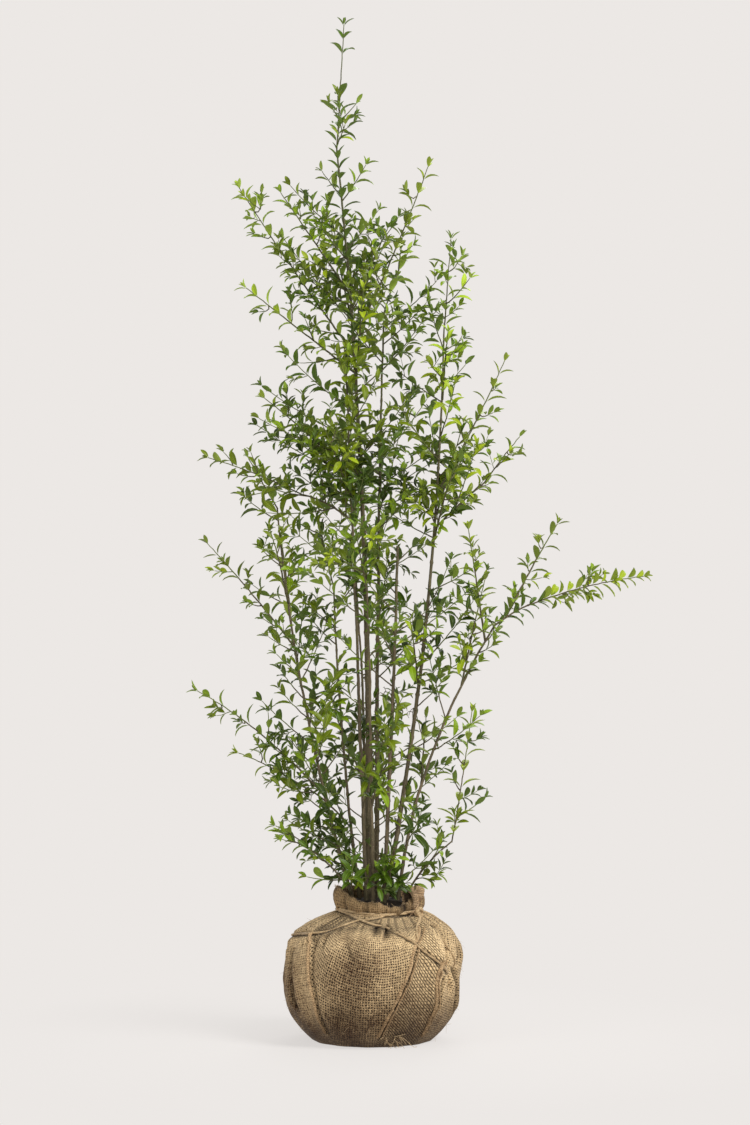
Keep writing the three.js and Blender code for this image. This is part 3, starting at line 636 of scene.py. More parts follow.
def grow(name, growth):
    """One mass by the CAD model's rule, with sprays in place of its large leaves and fine leaves between"""
    index = list(MASSES).index(name)
    row = MASSES[name]
    axis = branch_curve(row, FINE_ROOM)
    bare = row.get("bare")
    random = Random(FIRST_SEED + SEED_STEP * index)
    fine = Random(FINE_SEED + FINE_SEED_STEP * index)
    start, coarse = coarse_pairs(axes[name], random, 0.55 * LEAF_SPACING, bare)
    at_tip = row["fork"] == TIP
    foot_radius = limbs[row["start"]]["radii"][-1] if at_tip else 2.0
    growth.twig(axis, (foot_radius, 0.75), 0.62, 2.0 if at_tip else 0.0)
    tint = tint_of(axis.end, fine, 0.18)
    spacing = CLOSE_PAIRS.get(name, AXIS_SPACING)
    growth.pairs(axis, fine, spacing, 0.5 * spacing, start, tint, (0.88, 1.16), bare)
    far = name in FAR_MASSES
    add_sprays(growth, coarse, fine, far, *AXIS_SPRAYS)
    for twig in side_twigs(row, axes[name], random):
        on_bare = bare and twig["along"] > bare[0] - 0.06
        curve = twig["curve"]
        span = curve.end - curve.start
        count = max(2, int(curve.length * 0.7 / SAMPLE_SPACING))
        samples = curve.start + span * np.linspace(0.3, 1, count)[:, None]
        start, coarse = coarse_pairs(curve, random, 0.8 * LEAF_SPACING)
        if on_bare or not is_free(samples, name):
            continue
        end = curve.end + unit(span) * 14
        bent = Curve(axis.at(twig["along"]), curve.start + span * 0.5 - UP * 0.06 * curve.length, end)
        growth.twig(bent, (1.25, 0.6), 0.35)
        tint = tint_of(end, fine, 0.1)
        growth.pairs(bent, fine, FINE_SPACING, 0.7 * FINE_SPACING, start, tint, (0.8, 1.1))
        add_sprays(growth, coarse, fine, far, *SIDE_SPRAYS)


def read(rows, place):
    """The number that pairs of a place and a number give for a place between them"""
    return np.interp(place, *zip(*rows))


def crown_place(point):
    """Where a point lies in the dense part of the crown, from above, as a line that is 1 long at its edge"""
    heights, *sides = zip(*CROWN)
    left, right = (np.interp(point[2], heights, side) for side in sides)
    half = (right - left) / 2
    return np.array([(point[0] - (left + right) / 2) / half, point[1] / (half * CROWN_DEPTH), 0])


def crown_share(point):
    return math.hypot(*crown_place(point))


def shoots(curve, growth, seed, last=1.0, shortening=1.0, fuller=((0, 1),)):
    """Side shoots up a limb, by the rule of the masses, cut back to the dense part of the crown"""
    rule = Random(seed)
    place = rule.between(0.2, 1) * SHOOT_SPACING
    turn = rule() * 2 * math.pi
    while place < last * curve.length - 8:
        along = place / curve.length
        fine = Random(int(seed + PLACE_SEED_STEP * (1 + 1000 * along)))
        place += SHOOT_SPACING * rule.between(0.7, 1.3)
        turn += math.radians(SHOOT_TURN + rule.between(-20, 20))
        foot = curve.at(along)
        reach = fine.between(*SHOOT_REACH) * shortening
        angle = math.radians(SHOOT_ANGLE + fine.between(-12, 14))
        if foot[2] < CROWN[0][0] or foot[2] > CROWN[-1][0]:
            continue
        tangent = curve.tangent(along)
        aslant = tangent * math.cos(angle) + side_of(tangent, turn) * math.sin(angle)
        direction = unit(aslant + UP * TWIG_LIFT)
        chance = read(FULLNESS, foot[2]) * read(fuller, foot[2])
        if fine() <= chance * (1 + OUTWARDS * (direction @ crown_place(foot))):
            side_shoot(growth, foot, direction, reach, fine)


def side_shoot(growth, foot, direction, reach, fine):
    """One side shoot with its leaves and sprays, cut back to the dense part of the crown"""
    while reach > 30 and crown_share(foot + direction * reach) > 1:
        reach -= 8
    end = foot + direction * reach
    if crown_share(end) > 1.1:
        return
    shoot = Curve(foot, (foot + end) / 2 - UP * 0.07 * reach, end)
    growth.twig(shoot, (1.3, 0.6), 0.3)
    tint = tint_of(end, fine, 0.02)
    start = fine() * math.pi
    first = (0.7 if foot[2] > LEAFY_FROM else 1.8) * FINE_SPACING
    growth.pairs(shoot, fine, FINE_SPACING, min(first, 0.5 * reach), start, tint, (0.84, 1.24))
    for _, leaf in zip(range(SHOOT_SPRAYS), coarse_pairs(shoot, fine, 0.8 * LEAF_SPACING)[1]):
        if fine() > 0.75 - 0.5 * leaf["along"]:
            continue
        length = LEAF_REACH * leaf["size"]
        if crown_share(leaf["foot"] + leaf["direction"] * length) < 1.08:
            tint = tint_of(leaf["foot"], fine, 0.0)
            growth.spray(leaf["foot"], leaf["direction"], length - 22, fine, tint, (0.7, 1.0))


# Single shoots where the crown is fuller than its neighbourhood: limb, height, heading, length and rise
SINGLE_SHOOTS = [
    ("stem_right", 850, 176, 105, 0.6), ("stem_right", 890, 214, 95, 0.6), ("stem_right", 918, 150, 90, 0.5),
    ("stem_rear", 905, -22, 120, 0.4), ("stem_rear", 868, -58, 105, 0.6), ("stem_rear", 935, 12, 95, 0.5),
    ("stem_right", 872, -110, 90, 0.9), ("stem_left_upper", 955, 176, 180, 0.55),
    ("stem_left_upper", 990, 190, 165, 0.4), ("stem_left_upper", 790, 184, 115, 0.7),
    ("stem_left_upper", 905, 166, 120, 0.6), ("leader", 1245, 174, 150, 0.7),
    ("stem_rear", 1185, -18, 105, 0.9), ("stem_right", 1170, 110, 85, 1.2), ("stem_right", 1140, 40, 70, 1.3),
    ("stem_middle", 690, -14, 80, 0.7), ("stem_right", 715, 192, 80, 0.6), ("stem_front", 560, 160, 80, 0.7),
    ("stem_middle", 545, 80, 70, 0.7), ("stem_left", 700, 200, 75, 0.8),
    ("stem_left_outer", 800, 200, 80, 0.8),
    ("stem_left_outer", 296, 176, 112, 0.5), ("stem_left_outer", 330, 196, 96, 0.5),
    ("stem_left", 312, 172, 92, 0.7), ("stem_left_outer", 356, 160, 80, 0.3),
    ("stem_low_right", 300, -60, 60, 0.9), ("stem_left_upper", 330, 214, 80, 0.8),
]

# Short shoots with broad leaves that hang over the collar: limb, height, heading and length
FOOT_SHOOTS = [
    ("stem_front", 254, -38, 34), ("stem_front", 262, -74, 30), ("stem_front", 274, -128, 32),
    ("stem_middle", 262, -48, 40), ("stem_middle", 280, -96, 38), ("stem_right_low", 262, -40, 30),
    ("stem_left_upper", 276, -120, 36),
    ("stem_right", 268, -72, 46), ("stem_low_right", 268, -30, 26), ("stem_left_outer", 270, 214, 26),
    ("stem_back", 268, 96, 34), ("stem_back", 284, 60, 30), ("stem_rear", 270, 40, 36),
    ("stem_left", 276, 130, 34),
]

# Past the end of any twig, so that it stays brown all along
NEVER_GREEN = 2.0

# Dry leafless twiglets that curl down: limb, height, heading and length
DRY_TWIGS = [
    ("stem_middle", 566, -28, 30), ("stem_middle", 584, -150, 26), ("stem_middle", 548, -80, 34),
    ("stem_right", 556, -110, 26), ("stem_front", 520, 40, 24), ("stem_back", 600, 70, 30),
]


def rows_on(table, names, seed):
    """The rows of a table that are for the named limbs, each with its foot, direction and random numbers"""
    for number, (limb_name, height, heading, length, *rest) in enumerate(table):
        if limb_name in names:
            random = Random(seed + ROW_SEED_STEP * number)
            yield number, place_on(limb_name, height), compass(heading), length, random, *rest


def single_shoots(growth, names):
    for _, foot, out, length, fine, rise in rows_on(SINGLE_SHOOTS, names, SINGLE_SHOOT_SEED):
        side_shoot(growth, foot, unit(out + UP * rise), length, fine)


def foot_shoots(growth, names):
    for number, foot, out, length, fine in rows_on(FOOT_SHOOTS, names, FOOT_SHOOT_SEED):
        end = foot + out * length + UP * 0.12 * length
        shoot = Curve(foot, (foot + end) / 2 + UP * 0.2 * length, end)
        growth.twig(shoot, (1.2, 0.7), 0.2)
        growth.pairs(shoot, fine, 15, 12, fine() * math.pi, number % 3, (1.0, 1.4))


def dry_twigs(growth, names):
    for _, foot, out, length, fine in rows_on(DRY_TWIGS, names, DRY_TWIG_SEED):
        end = foot + out * length * 0.7 + UP * length * fine.between(-0.5, 0.1)
        twiglet = Curve(foot, foot + out * length * 0.7 + UP * length * 0.7, end)
        growth.twig(twiglet, (1.1, 0.6), NEVER_GREEN)
        for share in (0.45, 0.7, 1.0):
            start = twiglet.at(share)
            side = side_of(twiglet.tangent(share), fine() * 6.3)
            tip = start + side * fine.between(8, 14) - UP * fine.between(2, 8)
            growth.twig(Curve(start, start + side * 9 + UP * 5, tip), (0.7, 0.45), NEVER_GREEN)


# A leaf's stations along its length, with its half width at each. The first is its stalk.
LEAF_STATIONS = np.array([0.1, 0.22, 0.38, 0.56, 0.74, 0.89])
LEAF_OUTLINE = np.array([0.05, 0.52, 0.9, 1.0, 0.8, 0.42])
RIB_WIDTH = 0.35
LEAF_FOLD = 0.34
LEAF_THICKNESS = 0.55


def leaf_mesh(leaves, pile):
    """Thin closed leaves, folded along the rib and arched, with an upper side, a rib and an underside"""
    feet, directions, faces, sizes, tints, bends = (np.array(column, float) for column in zip(*leaves))
    along = unit(directions)
    side = unit(np.cross(faces, along))
    up = np.cross(along, side)
    count = len(feet)
    stations = np.concatenate([[0], LEAF_STATIONS, [1]])

    def bend_at(place):
        return bends[:, None] * (1.25 * place**1.15 - 0.42)

    angle = bend_at((stations[1:] + stations[:-1]) / 2)
    step = np.diff(stations) * (FINE_LENGTH * sizes)[:, None]
    start = np.zeros((count, 1))
    forward, drop = (np.concatenate([start, np.cumsum(way(angle) * step, 1)], 1) for way in (np.cos, np.sin))
    spine = feet[:, None] + along[:, None] * forward[..., None] - up[:, None] * drop[..., None]
    at = bend_at(stations[1:-1])
    normal = up[:, None] * np.cos(at)[..., None] + along[:, None] * np.sin(at)[..., None]
    ring = spine[:, 1:-1]
    half = 0.5 * FINE_WIDTH * sizes[:, None] * LEAF_OUTLINE
    edge = side[:, None] * (half * math.cos(LEAF_FOLD))[..., None]
    lift = half * math.sin(LEAF_FOLD) * np.minimum(1, LEAF_OUTLINE * 2 - 0.1)
    raised = normal * lift[..., None]
    rib = side[:, None] * np.minimum(RIB_WIDTH, 0.6 * half)[..., None]
    under = normal * np.minimum(LEAF_THICKNESS, half)[..., None]
    corners = np.stack([ring + edge + raised, ring + rib, ring - rib, ring - edge + raised, ring - under], 2)
    points = np.concatenate([corners.reshape(count, -1, 3), spine[:, :1], spine[:, -1:]], 1)
    rings = len(LEAF_STATIONS)
    tris, quads = closed_skin(rings, 5, turned=True)
    parts = np.array([0, 1, 0, 2, 2])
    shift = (np.arange(count) * points.shape[1])[:, None, None]
    numbers = {
        size: (tints[:, None] * 3 + np.tile(parts, times)).astype(int).ravel()
        for size, times in ((4, rings - 1), (3, 2))
    }
    pile.add(points.reshape(-1, 3), [(tris + shift).reshape(-1, 3), (quads + shift).reshape(-1, 4)], numbers)


def twig_mesh(twigs, pile):
    jitter = np.random.default_rng(5)
    for points, radii, young_from in twigs:
        sides = 6 if radii[0] > 1.5 else 5 if radii[0] > 1 else 4
        bumps = jitter.uniform(-0.45, 0.45, points.shape)
        bumps[[0, -1]] = 0
        ring = np.repeat(np.arange(len(points) - 1), sides) / len(points)
        numbers = {4: (ring >= young_from).astype(int), 3: int(young_from < 1)}
        pile.add(*tube(points + bumps, radii, sides), numbers)


# Materials


class Value:
    """What a node of a material gives, which can be reckoned with"""

    def __init__(self, surface, socket):
        self.surface, self.socket = surface, socket

    def __add__(self, other):
        return self.surface.math("ADD", self, other)

    def __sub__(self, other):
        return self.surface.math("SUBTRACT", self, other)

    def __mul__(self, other):
        return self.surface.math("MULTIPLY", self, other)

    def __truediv__(self, other):
        return self.surface.math("DIVIDE", self, other)


class Surface:
    """A material of nodes, made step by step. Its colours are given as they show, from 0 to 255."""

    def __init__(self, name):
        self.material = bpy.data.materials.new(name)
        self.material.use_nodes = True
        self.tree = self.material.node_tree
        self.shader = self.tree.nodes["Principled BSDF"]

    def nodes(self, kind, values, **settings):
        """All that a new node gives"""
        made = self.tree.nodes.new(kind)
        for key, value in settings.items():
            setattr(made, key, value)
        for key, value in values.items():
            self.feed(made.inputs[key], value)
        return [Value(self, socket) for socket in made.outputs]

    def node(self, kind, values, output=0, **settings):
        return self.nodes(kind, values, **settings)[output]

    def feed(self, socket, value):
        value = getattr(value, "socket", value)
        if isinstance(value, bpy.types.NodeSocket):
            self.tree.links.new(value, socket)
        else:
            socket.default_value = value

    def math(self, operation, a, b=0.0):
        return self.node("ShaderNodeMath", {0: a, 1: b}, operation=operation)

    def noise(self, vector, scale, detail=3.0, rough=0.55, output=0):
        values = {"Vector": vector, "Scale": scale, "Detail": detail, "Roughness": rough}
        return self.node("ShaderNodeTexNoise", values, output)

    def ramp(self, value, *stops):
        made = self.tree.nodes.new("ShaderNodeValToRGB")
        self.feed(made.inputs[0], value)
        points = made.color_ramp.elements
        while len(points) < len(stops):
            points.new(0.5)
        for point, (place, colour) in zip(points, stops):
            point.position = place
            point.color = opaque(*colour)
        return Value(self, made.outputs[0])

    def cover(self, colour, share, other):
        """A colour with a share of another colour over it"""
        other = other if isinstance(other, Value) else opaque(*other)
        return self.node("ShaderNodeMix", {0: share, 6: colour, 7: other}, output=2, data_type="RGBA")

    def spread(self, value, low, high, to_low=0.0, to_high=1.0):
        return self.node("ShaderNodeMapRange", {"Value": value, 1: low, 2: high, 3: to_low, 4: to_high})

    def painted(self, name):
        return self.node("ShaderNodeAttribute", {}, output=2, attribute_name=name)

    def place(self, kind="Object"):
        return self.tree.nodes.new("ShaderNodeTexCoord").outputs[kind]

    def height(self):
        return self.node("ShaderNodeSeparateXYZ", {0: self.place()}, output=2)

    def set(self, **values):
        for key, value in values.items():
            self.feed(self.shader.inputs[key.replace("_", " ")], value)

    def bump(self, height, strength, distance):
        values = {"Height": height, "Strength": strength, "Distance": distance}
        self.set(Normal=self.node("ShaderNodeBump", values))


def opaque(*colour):
    """A colour given as it shows, from 0 to 255, as the light it stands for"""
    light = (c / 255 / 12.92 if c / 255 <= 0.04045 else ((c / 255 + 0.055) / 1.055) ** 2.4 for c in colour)
    return (*light, 1)


def leaf_material(name, colour, roughness, coat):
    surface = Surface(name)
    place = surface.place()
    gloss = surface.spread(surface.noise(place, 140, 2.0), 0.3, 0.7, roughness - 0.07, roughness + 0.08)
    surface.set(Base_Color=opaque(*colour), Coat_Weight=coat, Coat_Roughness=0.3)
    surface.set(Roughness=gloss, Specular_IOR_Level=0.22)
    surface.bump(surface.noise(place, 900, 2.0), 0.35, 0.0004)
    return surface.material


# The greens of the sprays from dark to bright, and the pale tones mixed into ribs and undersides
GREENS = [(52, 71, 9), (72, 98, 11), (102, 118, 10), (120, 147, 18), (148, 166, 23), (164, 190, 40)]
RIB_PALE = (190, 205, 130)
UNDER_PALE = (150, 168, 112)


def blend(first, second, share):
    return tuple((1 - share) * a + share * b for a, b in zip(first, second))


leaf_materials = []
for number, green in enumerate(GREENS):
    leaf_materials.append(leaf_material(f"leaf_{number}_upper", green, 0.42, 0.07))
    leaf_materials.append(leaf_material(f"leaf_{number}_rib", blend(green, RIB_PALE, 0.38), 0.5, 0.0))
    leaf_materials.append(leaf_material(f"leaf_{number}_under", blend(green, UNDER_PALE, 0.45), 0.62, 0.0))


def bark_material(name, dark, light, green):
    """Smooth young bark with long streaks, small pale pores and a green cast"""
    surface = Surface(name)
    place = surface.place()
    drawn = surface.node("ShaderNodeMapping", {"Vector": place, "Scale": (1, 1, 0.12)})
    streaks = surface.noise(drawn, 320, 5.0, 0.6)
    pores = surface.node("ShaderNodeTexVoronoi", {"Vector": place, "Scale": 260.0})
    is_pore = surface.spread(pores, 0.1, 0.2, 1.0, 0.0)
    mossy = surface.spread(surface.noise(place, 22, 3.0), 0.42, 0.7, 0.0, 0.65)
    colour = surface.cover(surface.ramp(streaks, (0.3, dark), (0.62, light)), mossy, green)
    colour = surface.cover(colour, surface.spread(surface.height(), 0.7, 1.35, 0.0, 0.72), (72, 76, 38))
    colour = surface.cover(colour, is_pore * 0.5, (186, 172, 142))
    surface.set(Base_Color=colour, Roughness=surface.spread(streaks, 0.3, 0.7, 0.62, 0.88))
    surface.bump(streaks + is_pore * 0.4, 0.6, 0.0006)
    return surface.material


BARK = bark_material("bark", (58, 48, 34), (118, 103, 78), (86, 82, 50))
TWIG_WOOD = bark_material("twig_wood", (62, 54, 36), (106, 94, 66), (80, 82, 46))
TWIG_GREEN = bark_material("twig_green", (82, 92, 36), (116, 124, 58), (100, 116, 42))
CUT_WOOD = bark_material("cut_wood", (170, 146, 104), (206, 184, 140), (190, 170, 120))


# Limbs with the relief of their bark

BARK_SEED = 300
BARK_RINGS_APART = 2.6


def bark_tube(name, limb, seed):
    """A limb with low waves in its bark, thickened nodes and the scars of fallen leaves"""
    rng = np.random.default_rng(seed)
    curve = limb["curve"]
    steps = int(curve.length / BARK_RINGS_APART)
    shares = np.linspace(0, 1, steps + 1)
    radii = limb["radius_at"](curve.parameter(shares))
    sides = 18 if radii[0] > 3.5 else 14
    way, angle = shares[:, None] * curve.length, ring_angles(sides)[None]
    relief = np.zeros((steps + 1, sides))
    for _ in range(9):
        lobes = rng.integers(1, 6)
        relief += 0.016 * np.sin(lobes * angle + rng.uniform(-0.09, 0.09) * way + rng.uniform(0, 6.3))
    relief += 0.02 * rng.standard_normal(relief.shape)
    node, facing = rng.uniform(12, 30), rng.uniform(0, 3.1)
    while node < curve.length - 8:
        scar = bell(way - node - 0.8, 2.0) * np.abs(np.cos(angle - facing)) ** 9
        relief += 0.1 * bell(way - node, 3.4) + 0.34 * scar
        node += rng.uniform(32, 48)
        facing += math.pi / 2 + rng.uniform(-0.2, 0.2)
    drift = np.cumsum(rng.standard_normal((steps + 1, 3)) * 0.16, axis=0)
    drift -= shares[:, None] * drift[-1]
    drift *= np.sin(np.pi * shares)[:, None] ** 0.5
    points = curve.at(shares) + np.clip(drift, -1.6, 1.6)
    skin, (caps, quads) = tube(points, radii[:, None] * (1 + relief), sides)
    numbers = np.zeros(len(caps) + len(quads), int)
    numbers[sides : 2 * sides] = name == CUT_STEM
    piece = build(f"{name}_bark", skin, [caps, quads], [BARK, CUT_WOOD], numbers)
    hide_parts(name)
    return piece


# The cloth of the ball


def half_turn(degrees):
    """Degrees brought to between -180 and 180"""
    return (degrees + 180) % 360 - 180


def ball_profile(height):
    waist = BALL_WIDTH / 2
    below = np.clip((BALL_WAIST_HEIGHT - height) / BALL_WAIST_HEIGHT, 0, 1)
    above = np.clip((height - BALL_WAIST_HEIGHT) / (BALL_HEIGHT - BALL_WAIST_HEIGHT), 0, 1)
    under = waist - (waist - BALL_FOOT_WIDTH / 2) * below**BALL_FOOT_ROUNDNESS
    over = waist - (waist - NECK_WIDTH / 2) * above**BALL_SHOULDER_ROUNDNESS
    return np.where(height < BALL_WAIST_HEIGHT, under, over)


CLIMB_HEIGHTS = BALL_HEIGHT * (0.5 - 0.5 * np.cos(math.pi * np.linspace(0, 1, 400)))
CLIMB_STEPS = np.hypot(np.diff(ball_profile(CLIMB_HEIGHTS)), np.diff(CLIMB_HEIGHTS))
CLIMBED = BALL_FOOT_WIDTH / 2 + np.concatenate([[0], np.cumsum(CLIMB_STEPS)])


def climbed(height):
    """The way over the cloth from the middle of the underside up to a height"""
    return np.interp(height, CLIMB_HEIGHTS, CLIMBED)


def folds(turn, height):
    depth = 1 + 3.4 * smooth_step(height, 60, BALL_HEIGHT)
    pleats = depth * np.cos(13 * turn + 1.1 + 0.8 * np.sin(2 * turn))
    sag = 2.2 * (np.cos(2 * turn + 0.6) + 0.7 * np.cos(3 * turn + 2.2))
    return pleats + sag * np.sin(np.pi * height / BALL_HEIGHT)


# Lines on the ball as turns in degrees, from the front to the right, at heights from high to low
HEMS = {
    "front": ([41.5, 29, 23.9, 20.2, 12, 6.7, 3], [198, 174, 147, 111, 66, 35, 14]),
    "right": ([48.5, 44.6, 45, 45.9, 42.9, 42], [143, 130, 118, 73, 50, 14]),
    "left": ([-54, -48.8, -44.6, -40, -37.6, -37], [188, 173, 128, 95, 55, 20]),
    "back_right": ([118, 128, 131, 132], [188, 140, 80, 22]),
    "back_left": ([-150, -159, -165, -168], [188, 140, 80, 24]),
}
TWINES = {
    "twine_left": (
        [-104, -92, -84, -76, -55.5, -44, -30, -22.5, -11.5, -3, 12.5, 30, 47],
        [168, 175, 178.5, 181.5, 187.5, 191.5, 202.6, 209.2, 210.8, 213.4, 217.5, 220, 222],
    ),
    "twine_right": (
        [-45, -27, -5, 10, 20, 27, 35.4, 42.5, 49.3, 56],
        [216.5, 213, 206, 200, 189.5, 179.5, 162, 147, 134.5, 122.5],
    ),
}

# Creases run down the cloth: turns, heights, depth, half width, and how much painted shade they take
CREASES = [
    ([-74.5, -65.5, -60], [157, 117, 60], 13.0, 8.5, 1.0),
    ([25.9, 23.0, 18.1, 11.0], [147, 120, 92, 56], 5.5, 2.2, 1.0),
    ([1.5, 0.8, -0.6], [203, 195.5, 187.5], 11.0, 3.4, 1.0),
    ([1.4, 0.4], [205, 190.5], 9.0, 6.6, 1.0),
    ([11.8, 9.0], [204, 186.5], 9.0, 4.8, 1.0),
    ([11.4, 9.3, 7.6], [200.5, 192, 183], 11.0, 3.0, 1.0),
    ([6.7, 5.4, 3.2], [201.5, 194.5, 185.5], -3.0, 2.6, 0.0),
    ([-22, -21.5, -16], [203.5, 179.5, 150], 4.0, 5.0, 0.25),
    ([26, 22.5, 18], [193.5, 179.5, 160], 4.0, 5.0, 0.25),
    ([-34, -39, -37.5], [200, 184, 165], 5.0, 3.4, 0.5),
    ([-44, -46, -45], [194, 180.5, 159.5], 5.0, 2.6, 0.6),
    ([67.5, 55, 62], [197, 151.5, 90], 6.0, 6.0, 0.3),
    ([52, 51, 51], [116, 96, 60], 4.0, 2.4, 0.8),
    ([63.5, 70, 73], [128.5, 100, 52], 10.0, 5.6, 1.0),
    ([59, 59.5, 55], [202, 194.5, 186.5], 8.0, 3.6, 0.9),
    ([80.5, 71.5, 69], [187, 151.5, 135], 7.0, 6.0, 0.5),
    ([-89, -87.5, -84], [191.5, 147.5, 90], 7.0, 6.0, 0.6),
    ([-104, -100, -96], [200, 140, 50], 8.0, 6.0, 0.6),
    ([100, 104, 108], [200, 150, 70], 8.0, 6.0, 0.6),
    ([150, 152, 150], [200, 140, 70], 8.0, 6.0, 0.6),
    ([176, 178, 182], [200, 150, 60], 8.0, 6.0, 0.6),
    ([-128, -126, -128], [200, 140, 60], 8.0, 6.0, 0.6),
]

# Patches of painted shade on the cloth, and of painted light where the number is below 0: turn, height, half
# width, half height, and how much
SHADING_PATCHES = [
    (-8, 118, 54, 44, 0.5), (-30, 136, 40, 30, 0.2), (10, 56, 60, 30, 0.3), (-72, 100, 52, 60, 0.6),
    (-60, 190, 60, 18, 0.4), (-45, 40, 60, 34, 0.3), (48, 30, 60, 20, 0.2), (-120, 90, 70, 60, 0.4),
    (170, 70, 90, 60, 0.3), (110, 60, 80, 40, 0.2), (-12, 192, 40, 12, -0.5), (18, 180, 40, 16, -0.5),
    (50, 170, 40, 34, -0.45), (62, 120, 30, 40, -0.5), (32, 110, 26, 40, -0.25), (160, 190, 90, 20, -0.3),
]

# Small dents and lumps: turn, height, depth, half width, half height, and how much painted shade they take
DENTS = [
    (-50.5, 183, 7.0, 3.0, 4.0, 1.0), (-46.5, 179, -4.0, 2.6, 6.0, 0.0), (-54, 175, -4.5, 2.4, 6.0, 0.0),
    (-50.5, 170, 5.0, 1.8, 5.0, 0.9), (-57, 167, 4.5, 1.8, 6.0, 0.8), (-62, 171, -3.5, 3.0, 7.0, 0.0),
    (-43, 171, 3.0, 2.4, 6.0, 0.4), (63, 195.5, 8.0, 7.0, 3.8, 1.0), (65, 151, -4.0, 8.0, 12.0, 0.0),
    (-22, 60, 3.0, 16.0, 14.0, 0.15), (20, 24, 3.0, 9.0, 8.0, 0.5), (2.5, 130.5, -2.4, 26.0, 34.0, 0.0),
]


def beside(turn, height, at):
    """How far to the right of a turn a point of the ball lies, in millimetres"""
    return np.radians(half_turn(np.degrees(turn) - at)) * ball_profile(height)


def patch(turn, height, at, level, wide, tall):
    """A spot on the cloth, 1 in its middle and fading outwards"""
    return bell(beside(turn, height, at), wide) * bell(climbed(height) - climbed(level), tall)


def aside(turn, height, turns, heights):
    """How far to the right of a line on the ball a point lies, in millimetres, and how far inside its ends"""
    low, high = min(heights), max(heights)
    line = read(sorted(zip(heights, turns)), height)
    inside = np.minimum(smooth_step(height, low - 6, low + 8), smooth_step(-height, -high - 4, 5 - high))
    return beside(turn, height, line), inside


def above_twine(turn, height, turns, heights):
    """How far up the cloth from a strand of twine a point lies, and whether it is beside the strand"""
    degrees = half_turn(np.degrees(turn))
    line = np.interp(degrees, turns, heights)
    first, last = turns[0], turns[-1]
    along = smooth_step(degrees, first - 5, first + 2) * smooth_step(-degrees, -last - 5, 2 - last)
    return 0.86 * (climbed(height) - climbed(line)), along


def gathers(turn):
    """Two waves round the ball where the cloth is gathered under the neck"""
    return np.cos(41 * turn + 2 * np.sin(5 * turn)), np.cos(67 * turn + 1.7 * np.sin(3 * turn))


def cloth_relief(turn, height):
    """How far the cloth stands out from the ball's plain form, with folds, hems, creases and tied lines"""
    out = folds(turn, height)
    coarse, fine = gathers(turn)
    ribs = 1.9 * np.cos(70 * turn + 14 * height / 100) * bell(np.degrees(turn) + 52, 22)
    out += smooth_step(height, 168, 208) * (1.3 * coarse + 0.9 * fine + ribs)
    for line in HEMS.values():
        gap, inside = aside(turn, height, *line)
        out += inside * (1.6 * bell(gap, 3.0) + 1.6 * bell(gap + 7, 6) - 2.6 * bell(gap - 4.8, 2.4))
    for turns, heights, depth, width, _ in CREASES:
        gap, inside = aside(turn, height, turns, heights)
        out -= inside * depth * bell(gap, width)
        out += inside * 0.3 * abs(depth) * bell(np.abs(gap) - 2.2 * width, 1.3 * width)
    for line in TWINES.values():
        gap, along = above_twine(turn, height, *line)
        puckers = 1 + 0.45 * np.cos(38 * turn) + 0.3 * np.cos(71 * turn)
        out += along * (1.9 * puckers * bell(np.abs(gap) - 9, 5.5) - 2.2 * bell(gap, 3.4))
    for at, level, depth, wide, tall, _ in DENTS:
        out -= depth * patch(turn, height, at, level, wide, tall)
    ripple = 0.8 * np.sin(9 * turn + height / 21) * np.sin(height / 33 + 4 * turn)
    ripple += 0.5 * np.sin(23 * turn - height / 13 + 2 * np.sin(7 * turn))
    ripple += 0.35 * np.sin(37 * turn + height / 7.3) * np.sin(height / 9.1 - 19 * turn)
    return out + ripple * smooth_step(height, 6, 40)


def cloth_shade(turn, height):
    """How much painted shade the cloth takes, from 0 to 1: deep in creases and dents, beside hems, close
    under twine, between gathers and under the neck
    """
    darks = []
    for turns, heights, _, width, darkness in CREASES:
        gap, inside = aside(turn, height, turns, heights)
        darks.append(darkness * inside * bell(gap, 1.15 * width))
    for name, line in HEMS.items():
        gap, inside = aside(turn, height, *line)
        darks.append((0.85 if name == "front" else 0.6) * inside * bell(gap - 4.6, 2.2))
    for line in TWINES.values():
        gap, along = above_twine(turn, height, *line)
        darks.append(along * np.maximum(0.95 * bell(gap + 3.6, 2.8), 0.45 * bell(gap - 3.2, 1.8)))
    for at, level, _, wide, tall, darkness in DENTS:
        darks.append(darkness * patch(turn, height, at, level, wide, tall))
    coarse, fine = gathers(turn)
    darks.append(0.55 * np.clip(-(coarse + 0.7 * fine), 0, 1) * smooth_step(height, 180, 206))
    slits = (0.5 + 0.5 * np.cos(70 * turn + 14 * height / 100 + math.pi)) ** 3
    darks.append(0.85 * slits * bell(np.degrees(turn) + 50, 16) * smooth_step(height, 194, 203))
    darks.append(0.5 * smooth_step(height, 213, 216))
    return np.maximum(0, np.max(darks, 0))


# Painted shade of the patches at each point of the cloth, and painted light where it is below 0
def dampness(turn, height):
    spots = (darkness * patch(turn, height, *place) for *place, darkness in SHADING_PATCHES)
    return np.clip(sum(spots), -0.7, 0.8)


def ball_points(turn, height, extra=0.0):
    """Points on the cloth of the ball at turns and heights, or a little outside it"""
    radius = ball_profile(height) + cloth_relief(turn, height) + extra
    shift = SHOULDER_OFFSET * smooth_step(height, 100, 150)
    shift = shift + (NECK_OFFSET - SHOULDER_OFFSET) * smooth_step(height, 196, BALL_HEIGHT)
    return np.stack([shift + radius * np.sin(turn), -radius * np.cos(turn), height + 0 * turn], -1)


def over_ball(turns, heights, extra):
    return ball_points(np.radians(np.asarray(turns, float)), np.asarray(heights, float), extra)


THREAD_PITCH = 4.1
FAN_TOP = 205
FAN_TURN = 4

